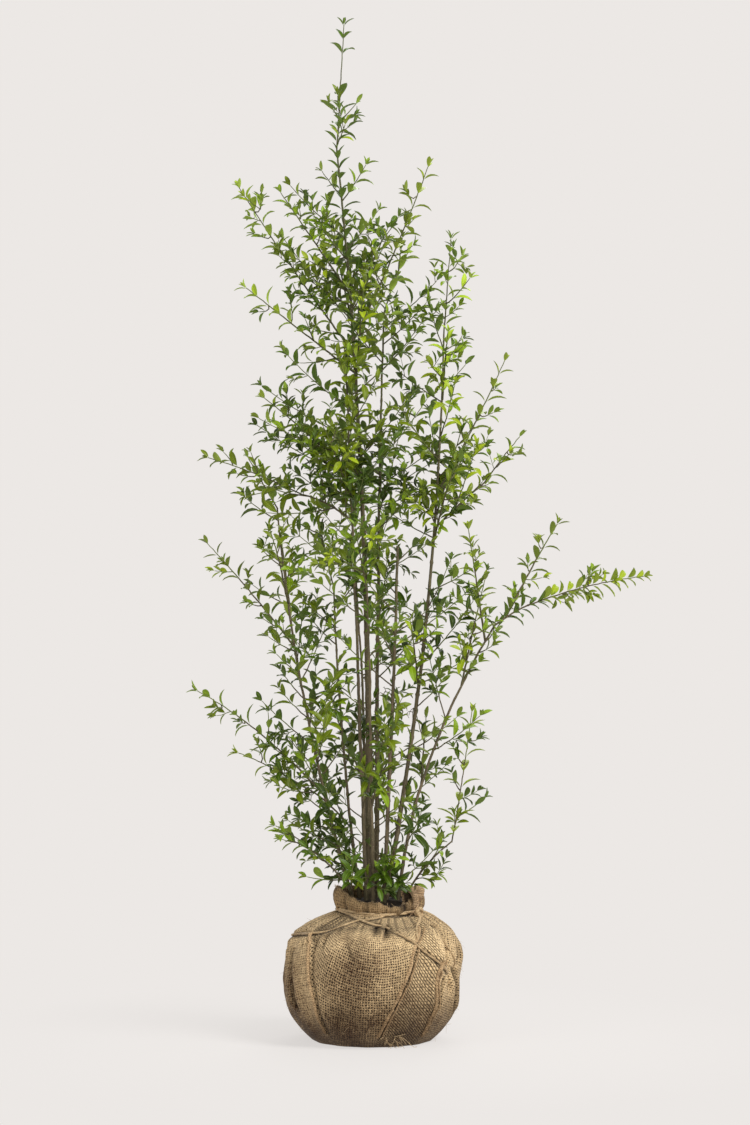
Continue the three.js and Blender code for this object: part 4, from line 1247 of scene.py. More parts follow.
# The panels of cloth: the slant of the threads, how open the weave is, and how far threads are pulled out
PANELS = {
    "front": (0, 0.95, 0.0),
    "mid": (50, 0.7, 0.8),
    "right": (18, 0.75, 0.0),
    "top": (8, 0.5, 0.0),
    "left": (-14, 0.25, 0.0),
    "back_right": (34, 0.7, 0.2),
    "back": (-26, 0.6, 0.0),
}


def panel_of(turn, height):
    """Which panel of cloth each face belongs to, as its number"""
    degrees = np.degrees(turn)
    track = {name: aside(turn, height, *hem)[0] for name, hem in HEMS.items()}
    under = np.minimum(*(above_twine(turn, height, *rope)[0] for rope in TWINES.values()))
    front = (track["left"] >= 0) & (track["front"] <= 0) & (np.abs(degrees) < 60)
    mid = (track["front"] > 0) & (track["right"] <= 0) & (np.abs(degrees) < 90)
    tied = np.where((degrees > -104) & (degrees < 58), under > 0, height > 190)
    cases = {
        "top": tied,
        "front": front,
        "mid": mid,
        "right": (track["right"] > 0) & (track["back_right"] <= 0) & (degrees > 0),
        "back_right": (track["back_right"] > 0) & (degrees > 90),
        "back": (degrees < -90) & (track["back_left"] < 0),
        "left": (degrees < 0) & (track["left"] < 0),
    }
    numbers = [list(PANELS).index(name) for name in cases]
    return np.select(list(cases.values()), numbers, list(PANELS).index("back"))


def thread_place(turn, height, way, panel):
    """Where a point lies on the cloth, counted in threads: a fan in front below the twine, else slanted"""
    radius = ball_profile(height)
    down = climbed(FAN_TOP) - way
    across = (turn - math.radians(FAN_TURN)) * radius
    far = np.maximum(down, 1)
    spoke = np.maximum(54 * (1 - np.exp(-far / 36)), 14)
    centre = 40 + 0.3 * far
    fan_u = 47 * across / spoke / 3.8
    fan_v = (np.hypot(across, down + centre) - centre) / 4.4
    slants = np.radians(np.array([row[0] for row in PANELS.values()]))[panel]
    wide = turn * (0.55 * radius + 0.45 * 140)
    u = (wide * np.cos(slants) - way * np.sin(slants)) / THREAD_PITCH
    v = (wide * np.sin(slants) + way * np.cos(slants)) / THREAD_PITCH
    is_fan = panel == list(PANELS).index("front")
    return np.stack([np.where(is_fan, fan_u, u), np.where(is_fan, fan_v, v)], -1)


def paint(piece, **values):
    """Numbers for each point of a piece that its material reads"""
    for name, numbers in values.items():
        layer = piece.data.attributes.new(name, "FLOAT", "POINT")
        layer.data.foreach_set("value", np.asarray(numbers, np.float32).ravel())


def ball_cloth():
    """The cloth of the ball, with its underside and its top inside the neck"""
    columns, rows = 600, 160
    step = 2 * math.pi / columns
    turns = (np.arange(columns) + 0.5) * 2 * math.pi / columns - math.pi
    heights = BALL_HEIGHT * (0.5 - 0.5 * np.cos(math.pi * np.linspace(0, 1, rows) ** 0.9))
    skin = ball_points(*np.meshgrid(turns, heights))
    skin[0, :, 2] = 0
    floor = skin[0] * [0.93, 0.93, 0]
    lid = skin[-1] * [0.9, 0.9, 1] + [0.1 * NECK_OFFSET, 0, -3]
    skin = np.concatenate([floor[None], skin, lid[None]])
    poles = [[0, 0, 0], [NECK_OFFSET, 0, BALL_HEIGHT - 4]]
    way = climbed(heights)
    way = np.concatenate([[way[0] - 7], way, [way[-1] + 8]])
    heights = np.concatenate([[0], heights, [BALL_HEIGHT]])
    panel = panel_of(*np.meshgrid(turns + step / 2, (heights[1:] + heights[:-1]) / 2)).reshape(-1, 1)
    corner_turn = np.tile(np.stack([turns, turns + step, turns + step, turns], -1), (len(skin) - 1, 1))
    corner_height, corner_way = (
        np.repeat(np.stack([place[:-1], place[:-1], place[1:], place[1:]], -1), columns, 0)
        for place in (heights, way)
    )
    uv_quads = thread_place(corner_turn, corner_height, corner_way, panel)
    cap_turns = np.stack([turns, np.roll(turns, -1), turns], -1)
    cap_ways = np.tile([0, way[0], way[0]], (columns, 1))
    uv_caps = np.stack([cap_ways * np.sin(cap_turns), -cap_ways * np.cos(cap_turns)], -1) / THREAD_PITCH
    uv = np.concatenate([uv.reshape(-1, 2) for uv in (uv_caps, uv_caps, uv_quads)])
    points = np.concatenate([skin.reshape(-1, 3), poles])
    piece = build("ball_cloth", points, closed_skin(len(skin), columns), [HESSIAN], uv=uv)
    grid = np.meshgrid(turns, heights)
    kinds = np.array([row[1:] for row in PANELS.values()])[panel_of(*grid)]
    paint(
        piece,
        shade=np.append(cloth_shade(*grid), [0, 1]),
        open=np.append(kinds[..., 0], [0.5, 0.5]),
        pulled=np.append(kinds[..., 1], [0, 0]),
        damp=np.append(dampness(*grid), [0, 0]),
    )
    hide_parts("root_ball")
    return piece


def hessian_material(name, gap, dark, light, stain, least_open=0.0):
    """Coarse plain weave of round threads over and under each other, dark where open, with dirt low down, and
    with painted light up top and painted shade low down, in patches and in creases
    """
    surface = Surface(name)
    place, flat = surface.place(), surface.place("UV")
    across, along, _ = surface.nodes("ShaderNodeSeparateXYZ", {0: flat})
    wander = surface.noise(flat, 0.24, 3.0, 0.5, output=1)
    shift_u, shift_v, _ = surface.nodes("ShaderNodeSeparateColor", {0: wander})
    u, v = across + shift_u * 1.3, along + shift_v * 1.3
    slubs = surface.noise(flat, 0.8, 2.0)
    # Painted shade of the patches, and painted light where below 0; the weave is also more open where they
    # are darker
    damp = surface.painted("damp")
    openness = surface.math("MAXIMUM", surface.painted("open"), least_open)
    width = surface.spread(slubs, 0.3, 0.7, 0.82, 1.12) - openness * 0.3 - damp * 0.16

    def thread(value):
        off = surface.math("ABSOLUTE", surface.math("FRACT", value) - 0.5) * 2.0 / width
        return surface.math("SQRT", surface.math("MAXIMUM", surface.math("SUBTRACT", 1.0, off * off), 0.0))

    over = surface.math("SINE", u * math.pi) * surface.math("SINE", v * math.pi)
    warp = thread(u) * (over * 0.32 + 0.68) * (surface.painted("pulled") * -0.7 + 1.0)
    weft = thread(v) * (over * -0.32 + 0.68)
    height = surface.math("MAXIMUM", warp, weft)
    level = surface.height()
    fibres = surface.noise(place, 620, 3.0, 0.7)
    tone = (fibres - 0.5) * 1.2 + 0.44 + (surface.noise(place, 15, 4.0) - 0.5) * 0.8
    # The threads lighter up top and darker low down: painted light and shade from above
    tone = tone + surface.spread(level, 0.02, 0.2, -0.12, 0.16) + (slubs - 0.5) * 0.5 - damp * 0.34
    threads = surface.ramp(tone, (0.1, dark), (0.9, light))
    colour = surface.cover(opaque(*gap), surface.spread(height, 0.16, 0.66), threads)
    ragged = level + (surface.noise(place, 24, 5.0) - 0.5) * 0.13
    colour = surface.cover(colour, surface.spread(ragged, -0.005, 0.09, 0.75, 0.0), stain)
    spots = surface.spread(surface.noise(place, 10, 3.0), 0.6, 0.76, 0.0, 0.3)
    colour = surface.cover(colour, spots, blend(stain, (150, 92, 50), 0.5))
    # Painted shade, as much as the points' shade numbers say
    colour = surface.cover(colour, surface.painted("shade") * 0.9, (22, 11, 4))
    roughness = surface.spread(fibres, 0.2, 0.8, 0.84, 0.98)
    surface.set(Base_Color=colour, Roughness=roughness, Sheen_Weight=0.05, Specular_IOR_Level=0.2)
    surface.bump(height + fibres * 0.3, 1.0, 0.0013)
    return surface.material


# The colours of the gaps, of dark and light threads and of the dirt, and how open the weave is at least
HESSIAN = hessian_material("hessian", (20, 9, 2), (76, 47, 21), (255, 222, 170), (46, 29, 14))
HESSIAN_HEM, HESSIAN_COLLAR, HESSIAN_EAR = (
    hessian_material(f"hessian_{part}", *colours, least_open)
    for part, *colours, least_open in (
        ("hem", (42, 27, 12), (112, 82, 50), (236, 200, 152), (66, 46, 26), 0.3),
        ("collar", (34, 23, 11), (92, 70, 44), (180, 150, 108), (80, 58, 36), 0.4),
        ("ear", (40, 25, 14), (112, 84, 58), (236, 200, 156), (110, 78, 50), 0.4),
    )
)


def twine_material():
    surface = Surface("twine")
    drawn = surface.noise(surface.place(), 520, 4.0, 0.7)
    tone = drawn * 0.7 + surface.noise(surface.place(), 60, 3.0) * 0.3
    colour = surface.ramp(tone, (0.3, (112, 88, 60)), (0.5, (176, 148, 108)), (0.68, (226, 200, 156)))
    surface.set(Base_Color=colour, Roughness=surface.spread(drawn, 0.3, 0.7, 0.78, 0.95), Sheen_Weight=0.15)
    surface.bump(drawn, 0.8, 0.0006)
    return surface.material


def soil_material():
    surface = Surface("soil")
    crumbs = surface.noise(surface.place(), 260, 6.0, 0.65)
    colour = surface.ramp(crumbs, (0.32, (18, 13, 9)), (0.58, (50, 37, 26)), (0.8, (92, 72, 52)))
    patches = surface.noise(surface.place(), 40, 3.0)
    surface.set(Base_Color=colour, Roughness=surface.spread(patches, 0.3, 0.7, 0.72, 0.96))
    surface.bump(crumbs, 0.9, 0.002)
    return surface.material


TWINE = twine_material()
SOIL = soil_material()

COLLAR_FOOT = BALL_HEIGHT - 2

# The height of the collar's rim over its foot, all the way round from the back over the left side
RIM_TURNS = [-180, -150, -120, -92, -74, -58, -44, -32, -14, 0, 10, 20, 32, 42, 56, 72, 88, 110, 140, 180]
RIM_HEIGHTS = [38, 42, 40, 45, 46, 42, 34, 26, 25, 24, 19, 15, 17, 24, 34, 28, 27, 36, 34, 38]

# The collar's outer and inner face: the share of its height, and how far it stands out there
COLLAR_OUTER = [
    (0, -5), (0.05, -4), (0.1, -3.2), (0.18, -1.4), (0.28, 1), (0.4, 3), (0.54, 4.2), (0.68, 4.4), (0.8, 3.6),
    (0.9, 2.2), (0.97, 0.6),
]
COLLAR_INNER = [
    (1.0, -1.4), (0.97, -3.4), (0.88, -4.4), (0.72, -3.2), (0.5, -2.6), (0.3, -4.4), (0.1, -7), (0, -8),
]


def rim_height(turn):
    degrees = half_turn(np.degrees(turn))
    levels = [np.interp(half_turn(degrees + shift), RIM_TURNS, RIM_HEIGHTS) for shift in (-8, -4, 0, 4, 8)]
    rise = sum(levels) / len(levels) + 0.9 * np.cos(11 * turn + 0.5)
    return rise + 0.8 * np.cos(29 * turn + 1.1 * np.sin(4 * turn))


def collar_cloth():
    """The gathered cloth above the neck: pinched by the twine, puffed out over it, its rim turned in"""
    columns = 420
    turn = ring_angles(columns)
    pleat = np.cos(11 * turn + 0.5 + 0.8 * np.sin(3 * turn))
    pleat = pleat + 0.6 * np.cos(26 * turn + 1.3 * np.sin(5 * turn))
    fine = np.cos(53 * turn + 2.1 * np.sin(3 * turn))
    left = bell(half_turn(np.degrees(turn) + 90), 50)
    share, out = (column[:, None] for column in np.array(COLLAR_OUTER + COLLAR_INNER).T)
    amount = 2.3 * (1 - share) ** 1.5 + 1.1
    puff = 3.2 * left * np.sin(math.pi * share)
    radius = NECK_WIDTH / 2 + out + puff + amount * pleat + 0.7 * (1 - 0.5 * share) * fine
    radius = radius + 0.5 * np.sin(37 * turn + 9 * share) - 3 * left * (1 - share)
    height = COLLAR_FOOT + rim_height(turn) * share + 0.7 * np.sin(19 * turn + 7 * share) * share
    skin = np.stack([NECK_OFFSET + radius * np.sin(turn), -radius * np.cos(turn), height], -1)
    ways = way_along(skin[:, 0]) / 3.4
    ends = np.append(ways[1:], ways[-1] + 1)
    around = np.arange(columns)
    u = np.stack([around, around + 1, around + 1, around], -1) * 128 / columns
    v = np.stack([ways, ways, ends, ends], -1)[:, None] + 0 * u[None]
    uv = np.stack([np.broadcast_to(u, v.shape), v], -1).reshape(-1, 2)
    quads = ring_quads(len(skin), columns, looped=True)
    piece = build("collar_cloth", skin.reshape(-1, 3), [quads], [HESSIAN_COLLAR], uv=uv)
    # Painted shade: in the valleys of the pleats, at the foot under the twine, beside the ear where the cloth
    # has no real hollow, and on the inside, darker further down
    valley = np.clip(-0.55 * (pleat + 0.5 * fine), 0, 1)
    ear_shadow = bell(half_turn(np.degrees(turn) - 33), 8)
    shade = valley * (1 - 0.6 * share) * 0.8 + 0.85 * bell(share, 0.07)
    shade = shade + 0.85 * ear_shadow * smooth_step(share, 0.15, 0.6)
    inside = np.arange(len(skin))[:, None] > len(COLLAR_OUTER)
    paint(piece, shade=np.where(inside, np.clip(0.35 + 0.6 * (1 - share), 0, 1), shade))
    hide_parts("collar")
    return piece


def twisted_roll(points, radius, lobes, twist, depth=0.3, sides=24):
    """A rope of cloth or twine that twists along its way"""
    distance = way_along(points)[:, None]
    wave = np.abs(np.cos(0.5 * (lobes * ring_angles(sides)[None] + distance * 2 * math.pi / twist)))
    return tube(points, np.asarray(radius, float).reshape(-1, 1) * (1 - depth + depth * wave * 1.25), sides)


def smooth_line(points, count):
    """Points along a smooth line through the given ones"""
    points = np.asarray(points, float)
    padded = np.concatenate([[2 * points[0] - points[1]], points, [2 * points[-1] - points[-2]]])
    marks = way_along(points)
    places = np.linspace(0, marks[-1], count)
    i = np.minimum(np.searchsorted(marks, places, "right") - 1, len(points) - 2)
    t = ((places - marks[i]) / np.diff(marks)[i])[:, None]
    a, b, c, d = (padded[i + step] for step in range(4))
    return 0.5 * (2 * b + (c - a) * t + (2 * a - 5 * b + 4 * c - d) * t**2 + (3 * b - a - 3 * c + d) * t**3)


KNOT_TURN = 52
KNOT_DISTANCE = 83
KNOT_HEIGHT = 220
KNOT = compass(KNOT_TURN - 90) * KNOT_DISTANCE + [NECK_OFFSET, 0, KNOT_HEIGHT]
HOOD_OPENS = 226
HOOD_SPAN = 112


def ear():
    """Corners of the cloth above the knot, folded into a rounded hood that opens towards the stems"""
    ups, arounds = 44, 56
    up, side = np.meshgrid(np.linspace(0, 1, ups), np.linspace(-1, 1, arounds), indexing="ij")
    heart = smooth_line([(57, -48, 212), (60, -50, 224), (63, -48, 236), (63, -45, 247), (60, -44, 256)], ups)
    angle = np.radians(HOOD_OPENS + 180 + HOOD_SPAN * side * (1 - 0.24 * np.sin(np.pi * up)) + 20 * up)
    radius = 5.0 + 9.5 * np.sin(np.pi * np.clip(0.1 + 0.82 * up, 0, 1)) ** 0.8
    lumps = 1.5 * np.sin(3 * angle + 7 * up) + np.sin(7 * angle - 9 * up) + 0.5 * np.sin(13 * angle + 21 * up)
    curl = 2.4 * bell(np.abs(side) - 1, 0.16)
    sheets = []
    for wall in (0.0, 2.0):
        across = radius + lumps * (0.4 + 0.6 * up) + curl - wall
        rise = 1.6 * np.sin(5 * side + 2) * up - wall * 0.6 * up**6
        sheets.append(heart[:, None] + np.stack([across * np.cos(angle), across * np.sin(angle), rise], -1))
    count = ups * arounds
    grid = np.arange(count).reshape(ups, arounds)
    corners = [grid[:-1, :-1], grid[:-1, 1:], grid[1:, 1:], grid[1:, :-1]]
    outside = np.stack(corners, -1).reshape(-1, 4)
    rim = np.concatenate([grid[0], grid[1:, -1], grid[-1, -2::-1], grid[-2:0:-1, 0]])
    onward = np.roll(rim, -1)
    edge = np.stack([onward, rim, rim + count, onward + count], -1)
    quads = np.concatenate([outside, outside[:, ::-1] + count, edge])
    flat = np.stack([np.degrees(angle) * 0.24, heart[:, None, 2] + 0 * angle], -1).reshape(-1, 2) / 3.3
    uv = np.concatenate([flat, flat])[quads.ravel()]
    piece = build("collar_ear", np.concatenate(sheets).reshape(-1, 3), [quads], [HESSIAN_EAR], uv=uv)
    # Painted shade in the hollows between the lumps, and on the inner sheet deep inside the hood, paler
    # towards its edges
    hollows = 0.75 * np.clip(-lumps / 3 - 0.2, 0, 1)
    deep = 0.95 * np.clip(1.1 - 1.1 * np.abs(side) ** 8, 0, 1)
    paint(piece, shade=np.concatenate([hollows, deep]))
    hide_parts("collar")
    return piece


def roll_weave(faces, sides, lines, slant, stretch=1):
    """The weave's coordinates on a twisted roll, in threads round and along, for its caps and its sides"""
    caps, quads = faces
    around = np.arange(sides)
    along = np.arange(len(quads) // sides)[:, None] * lines + 0 * around
    u = np.stack([around, around + 1, around + 1, around], -1)[None] * 6 / sides + 0 * along[..., None]
    v = np.stack([along, along, along + lines, along + lines], -1)
    return {3: np.zeros((caps.size, 2)), 4: np.stack([u + v * slant, v], -1).reshape(-1, 2) * [stretch, 1]}


def knob():
    """The twisted corner of the cloth that stands up beside the hood, round at its top"""
    rings, sides = 60, 48
    line = [(68, -43, 216), (70, -46, 227), (73, -47, 238), (75, -46, 251), (72, -43, 265)]
    path = smooth_line(line, rings)
    share = np.linspace(0, 1, rings)
    radius = 11.6 * np.interp(share, [0, 0.15, 0.4, 0.6, 0.8, 0.92, 1], [0.5, 0.52, 0.62, 0.9, 1, 0.72, 0.15])
    radius = radius * (1 + 0.07 * np.sin(9 * share) + 0.05 * np.sin(23 * share))
    skin, faces = twisted_roll(path, radius, 3, 38, 0.36, sides)
    lumps = np.sin(skin / 4.1 + [0, 1.3, 2.1]).sum(1) + np.sin(skin / 2.3 + [1, 0.2, 2.6]).sum(1) * 0.5
    middles = path[np.minimum(np.arange(len(skin)) // sides, rings - 1)]
    skin = skin + unit(skin - middles) * 0.85 * lumps[:, None]
    pile = Pile()
    pile.add(skin, faces, uv=roll_weave(faces, sides, 0.3, 1.4, 3.5))
    piece = pile.piece("collar_knob", [HESSIAN_EAR])
    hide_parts("collar")
    return piece


# The rolls of a hem: how far to its right, their radius, and how far they stand out
SINGLE_HEM = [(0.0, 2.6, 1.2)]
DOUBLE_HEM = [(0.0, 2.7, 1.5), (8.2, 1.7, 0.9)]


def hem_rolls():
    """The rolled edges of the cloth, as twisted rolls that lie along the hems"""
    rng = np.random.default_rng(31)
    pile = Pile()
    rings, sides = 260, 20
    share = np.linspace(0, 1, rings)[:, None]
    from_end = np.minimum(np.arange(rings), np.arange(rings)[::-1])
    tapered = np.minimum(1, from_end / 14 + 0.45)
    for name, (turns, heights) in HEMS.items():
        for offset, radius, extra in DOUBLE_HEM if name in ("front", "right") else SINGLE_HEM:
            level = np.linspace(heights[0] + 2, heights[-1] + 3, 9 + 4 * len(heights))
            along = np.interp(level, heights[::-1], turns[::-1]) + np.degrees(offset / ball_profile(level))
            line = smooth_line(over_ball(along, level, extra), rings)
            wander = np.cumsum(rng.normal(0, 0.12, (rings, 3)), axis=0)
            radii = radius * tapered * rng.uniform(0.93, 1.07, rings)
            skin, faces = twisted_roll(line + wander - share * wander[-1], radii, 2, 46, 0.22, sides)
            pile.add(skin, faces, uv=roll_weave(faces, sides, 0.75 / 1.3 / 2.6, 0.7))
    piece = pile.piece("hem_rolls", [HESSIAN_HEM])
    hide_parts("root_ball")
    return piece


def trimmings():
    """Twine round the neck and over the ball, with its knot"""
    turns = np.radians(np.linspace(KNOT_TURN, KNOT_TURN + 360, 73))
    in_front = bell(half_turn(np.degrees(turns) + 4), 30)
    radius = NECK_WIDTH / 2 + 0.6 + 2.4 * in_front
    wobble = np.sin(3 * turns) + 0.8 * np.cos(5 * turns)
    height = BALL_HEIGHT + 3.4 + wobble - 3.6 * in_front
    ring = np.stack([NECK_OFFSET + radius * np.sin(turns), -radius * np.cos(turns), height], -1)
    crossing = 2.6 * np.sin(2.5 * turns)[:, None] * UP
    facing, side = compass(KNOT_TURN - 90), compass(KNOT_TURN)
    sweep = np.linspace(0, 5 * math.pi, 90)[:, None]
    loops = KNOT + side * (6.0 * np.cos(sweep)) + UP * (6.4 * np.sin(sweep))
    loops = loops + facing * (2.8 * np.sin(1.4 * sweep + 0.6) + 1.5)
    heart = KNOT + facing * np.linspace(-11, -1, 12)[:, None]
    down = over_ball([48.5, 45.5, 42.5, 38.5, 34.5, 32.5], [211, 209, 204.5, 197.5, 189, 181.5], 1.8)
    down = np.concatenate([[KNOT + facing * 2.5], down])
    loose = KNOT + np.array([(0, 0, 0), (3, -5, -6), (2, -9, -13), (-2, -10, -19)])
    thin = over_ball([66, 63.5, 58.5, 60.5, 63.5, 65.5], [203, 190.5, 176, 159, 143, 130.5], 0.9)
    neck = [
        (smooth_line(ring, 460), 2.1, 3, 13),
        (smooth_line(ring + [0, 0, 2.2] + crossing, 460), 1.9, 3, 12),
        (loops, 3.4, 3, 12),
        (heart, 6.2 * np.sin(np.linspace(0.35, 2.8, 12)), 3, 30),
        (smooth_line(down, 60), np.linspace(2.6, 2.0, 60), 3, 14),
        (smooth_line(loose, 30), np.linspace(1.6, 1.0, 30), 3, 12),
        (smooth_line(thin, 90), 1.1, 3, 9),
    ]
    ropes = {"neck_twine": neck}
    for name, line in TWINES.items():
        ropes[name] = [(smooth_line(over_ball(*line, 3.4), 320), 1.95, 3, 13, 0.22)]
    pieces = []
    for name, strands in ropes.items():
        rope = Pile()
        for strand in strands:
            rope.add(*twisted_roll(*strand))
        piece = rope.piece(f"{name}_rope", [TWINE])
        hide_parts(name)
        pieces.append(piece)
    return pieces


RIM_THREADS_APART = 2.6
CORNER_THREADS = 26
HEM_THREADS = 16
STRAY_FIBRES = 420


def loose_threads():
    """Frayed ends at the collar's rim and the hems, and stray fibres all over the cloth"""
    rng = np.random.default_rng(23)
    pile = Pile()

    def thread(start, way, length, radius, curl=0.35, steps=5):
        shares = np.linspace(0, 1, steps + 1)[:, None]
        turn_away = rng.normal(0, curl, 3)
        line = start + (unit(way) * shares + turn_away * shares**2 + [0, 0, -0.35] * shares**2) * length
        line[:, 2] = np.maximum(line[:, 2], radius)
        pile.add(*tube(line, radius * (1 - 0.4 * shares[:, 0]), 4))

    for turn in np.radians(np.arange(0, 360, RIM_THREADS_APART)):
        turn += rng.normal(0, 0.02)
        out = compass(math.degrees(turn) - 90)
        rim = COLLAR_FOOT + rim_height(turn) - 1
        start = np.array([NECK_OFFSET, 0, 0]) + out * (NECK_WIDTH / 2 + 0.4) + UP * rim
        thread(start, UP + out * rng.normal(0.1, 0.5) + rng.normal(0, 0.3, 3), rng.uniform(2.5, 6.5), 0.34)
    for turn, height in zip(rng.uniform(9, 24, CORNER_THREADS), rng.uniform(2, 24, CORNER_THREADS)):
        way = compass(turn - 90) * 0.8 + rng.normal(0, 0.7, 3) - UP * 0.5
        thread(over_ball(turn, height, 0.2), way, rng.uniform(6, 17), 0.5, 0.5, 7)
    for turns, heights in HEMS.values():
        for height in rng.uniform(min(heights), max(heights), HEM_THREADS):
            turn = np.interp(height, heights[::-1], turns[::-1])
            way = compass(turn - 90) + rng.normal(0, 0.8, 3)
            thread(over_ball(turn, height, -0.4), way, rng.uniform(3, 8), 0.3)
    for turn, share in zip(rng.uniform(-180, 180, STRAY_FIBRES), rng.uniform(0, 1, STRAY_FIBRES)):
        way = compass(turn - 90) * 0.5 + rng.normal(0, 0.8, 3)
        thread(over_ball(turn, 6 + 204 * share, -0.3), way, rng.uniform(3, 9), 0.2)
    piece = pile.piece("loose_threads", [TWINE])
    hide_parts("root_ball", "collar")
    return piece


SOIL_CLODS = 90


def soil_bed():
    """Crumbly soil inside the collar, heaped a little round the stems, low behind the dip of the rim"""
    rng = np.random.default_rng(11)
    rows, columns = 40, 120
    radius = NECK_WIDTH / 2 - 4
    far, angle = np.meshgrid(np.linspace(0, 1, rows + 1)[1:], ring_angles(columns), indexing="ij")
    x, y = far * radius * np.sin(angle), -far * radius * np.cos(angle)
    height = SOIL_TOP - 3 - 5 * far**3
    for _ in range(SOIL_CLODS):
        a, b = rng.uniform(-radius, radius, 2)
        wide = rng.uniform(2.5, 7)
        height = height + rng.uniform(-1.0, 2.2) * bell(np.hypot(x - a, y - b), wide)
    rim = COLLAR_FOOT + rim_height(angle) - 6
    height = np.minimum(height, np.maximum(rim, SOIL_TOP - 30 * far))
    sunk = height + (np.minimum(rim, height) - height) * (far - 0.66) / 0.34
    height = np.where(far > 0.66, np.minimum(height, sunk), height)
    skin = np.stack([NECK_OFFSET + x, y, height], -1)
    wall = skin[-1] * [1, 1, 0] + [0, 0, BALL_HEIGHT - 3]
    poles = [[NECK_OFFSET, 0, SOIL_TOP - 3], [NECK_OFFSET, 0, BALL_HEIGHT - 3]]
    points = np.concatenate([skin.reshape(-1, 3), wall, poles])
    piece = build("soil_bed", points, closed_skin(rows + 1, columns, turned=True), [SOIL])
    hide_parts("soil")
    return piece


# Making it all


def clear_of_limbs(leaves):
    """The leaves whose blades don't run into any limb"""
    feet, directions, _, sizes, _, _ = (np.array(column, float) for column in zip(*leaves))
    clear = np.ones(len(leaves), bool)
    for limb in limbs.values():
        for share in (0.6, 0.95):
            samples = feet + directions * (share * FINE_LENGTH * sizes)[:, None]
            clear &= distance_to_paths(samples, limb["path"], limb["radii"]) > LIMB_LEAF_CLEARANCE
    return [leaf for leaf, keep in zip(leaves, clear) if keep]


def grow_region(masses, limb_names):
    """All the twigs and leaves of one region"""
    growth = Growth()
    for name in masses:
        grow(name, growth)
    for name in limb_names:
        seed = SHOOT_SEED + SHOOT_SEED_STEP * list(limbs).index(name)
        shoots(limbs[name]["curve"], growth, seed, fuller=LIMB_FULLNESS.get(name, [(0, 1)]))
    single_shoots(growth, limb_names)
    foot_shoots(growth, limb_names)
    dry_twigs(growth, limb_names)
    if "top_spray" in masses:
        shoots(axes["top_spray"], growth, TOP_SHOOT_SEED, 0.42, 0.4)
    for number, (name, (spacing, sizes, bare)) in enumerate(LIMB_PAIRS.items()):
        if name in limb_names:
            random = Random(LIMB_PAIR_SEED + ROW_SEED_STEP * number)
            growth.pairs(limbs[name]["curve"], random, spacing, 6, 0.4, 1, sizes, bare)
    return growth


made = {slot: [] for slot in ("leaves", "bark", "hessian", "twine", "soil")}
for region, beginnings in REGIONS.items():
    masses = [name for name in MASSES if name.startswith(beginnings)]
    growth = grow_region(masses, LIMB_REGIONS[region])
    leaf_pile, twig_pile = Pile(), Pile()
    leaf_mesh(clear_of_limbs(growth.leaves), leaf_pile)
    twig_mesh(growth.twigs, twig_pile)
    leaf_piece = leaf_pile.piece(f"leaves_{region}", leaf_materials, sharp=70)
    twig_piece = twig_pile.piece(f"twigs_{region}", [TWIG_WOOD, TWIG_GREEN])
    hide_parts(*masses)
    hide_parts(*masses)
    made["leaves"].append(leaf_piece)
    made["bark"].append(twig_piece)
for number, (name, limb) in enumerate(limbs.items()):
    made["bark"].append(bark_tube(name, limb, BARK_SEED + number))
made["hessian"] += [ball_cloth(), hem_rolls(), collar_cloth(), ear(), knob(), loose_threads()]
made["twine"] += trimmings()
made["soil"].append(soil_bed())
for slot, pieces in made.items():
    for piece in pieces:
        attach(piece, "root")


# Floor, light and camera

BACKDROP = opaque(236, 232, 229)
FLOOR_REACH = 14000


def mixed(tree, share, first, second):
    """Two shaders mixed by a share"""
    mix = tree.nodes.new("ShaderNodeMixShader")
    for socket, source in zip(mix.inputs, (share, first, second)):
        tree.links.new(source, socket)
    return mix.outputs[0]


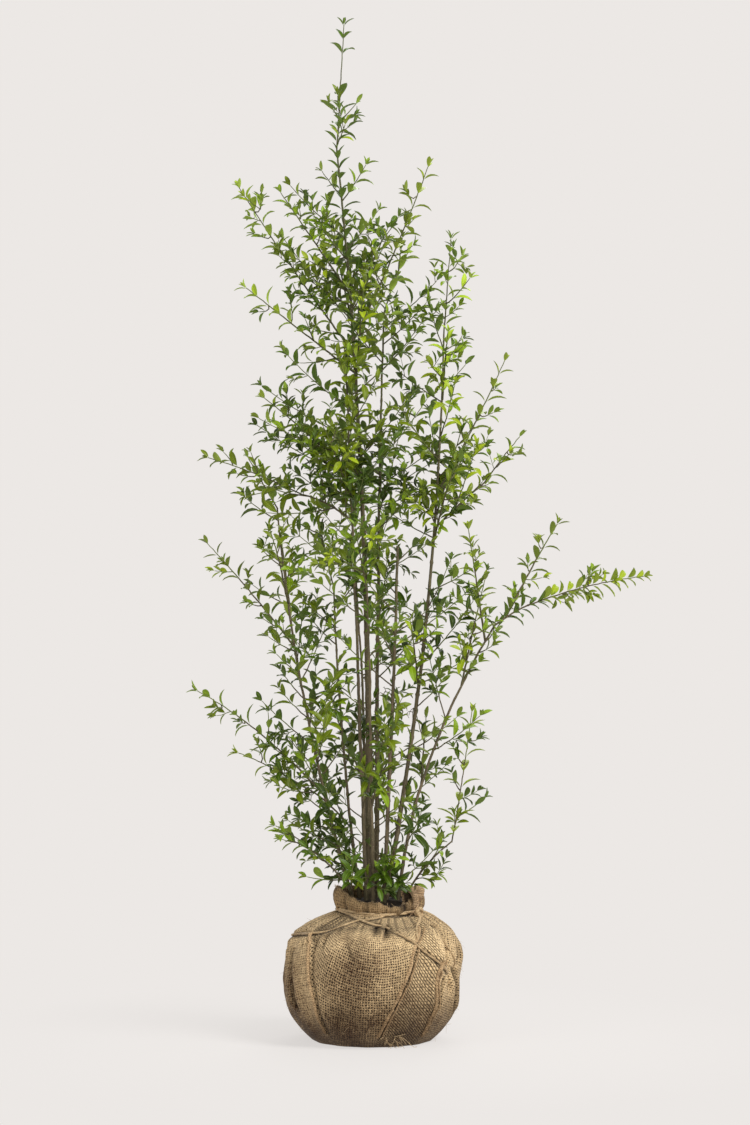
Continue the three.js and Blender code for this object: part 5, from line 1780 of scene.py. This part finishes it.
def floor():
    """A plain pale floor that takes a soft shadow round the ball and melts into the backdrop further out"""
    surface = Surface("floor")
    surface.set(Base_Color=opaque(226, 222, 219), Roughness=0.9, Specular_IOR_Level=0.1)
    glow = surface.tree.nodes.new("ShaderNodeEmission")
    glow.inputs[0].default_value = BACKDROP
    far = surface.node("ShaderNodeVectorMath", {0: surface.place()}, output=1, operation="LENGTH")
    share = surface.spread(far + surface.noise(surface.place(), 3.0) * 0.02, 0.16, 0.75, 0.74, 1.0)
    shown = mixed(surface.tree, share.socket, surface.shader.outputs[0], glow.outputs[0])
    surface.tree.links.new(shown, surface.tree.nodes["Material Output"].inputs[0])
    corners = FLOOR_REACH * np.array([[-1, -1, 0], [1, -1, 0], [1, 1, 0], [-1, 1, 0]])
    piece = build("floor", corners, [np.array([[0, 1, 2, 3]])], [surface.material])


def soft_light(name, place, target, size, power):
    lamp = bpy.data.lights.new(name, "AREA")
    lamp.shape = "SQUARE"
    lamp.size = size
    lamp.energy = power
    holder = bpy.data.objects.new(name, lamp)
    bpy.context.scene.collection.objects.link(holder)
    holder.location = place
    holder.rotation_euler = (Vector(target) - Vector(place)).to_track_quat("-Z", "Y").to_euler()


def world():
    """A soft light from all round, and the pale backdrop behind the plant"""
    made_world = bpy.data.worlds.new("studio")
    bpy.context.scene.world = made_world
    made_world.use_nodes = True
    tree = made_world.node_tree
    seen = tree.nodes["Background"]
    seen.inputs[0].default_value = BACKDROP
    ambient = tree.nodes.new("ShaderNodeBackground")
    ambient.inputs[0].default_value = (1, 1, 1, 1)
    ambient.inputs[1].default_value = 0.4
    is_seen = tree.nodes.new("ShaderNodeLightPath").outputs["Is Camera Ray"]
    shown = mixed(tree, is_seen, ambient.outputs[0], seen.outputs[0])
    tree.links.new(shown, tree.nodes["World Output"].inputs[0])


floor()
world()
soft_light("key", (3.1, -2.3, 4.2), (0, 0, 0.7), 2.0, 245)
soft_light("fill", (-3.2, -2.6, 2.4), (0, 0, 0.9), 2.6, 42)
soft_light("low", (0.4, -4.6, 1.6), (0, 0, 0.9), 2.0, 28)
soft_light("rim", (0.6, 3.2, 3.4), (0, 0, 1.0), 2.4, 70)

camera = bpy.data.objects.new("camera", bpy.data.cameras.new("camera"))
bpy.context.scene.collection.objects.link(camera)
camera.location = (0.005, -5.35, 0.809)
camera.rotation_euler = (math.pi / 2, 0, 0)
camera.data.sensor_width = 36
camera.data.lens = 100.7
bpy.context.scene.camera = camera
bpy.context.scene.view_settings.view_transform = "Standard"
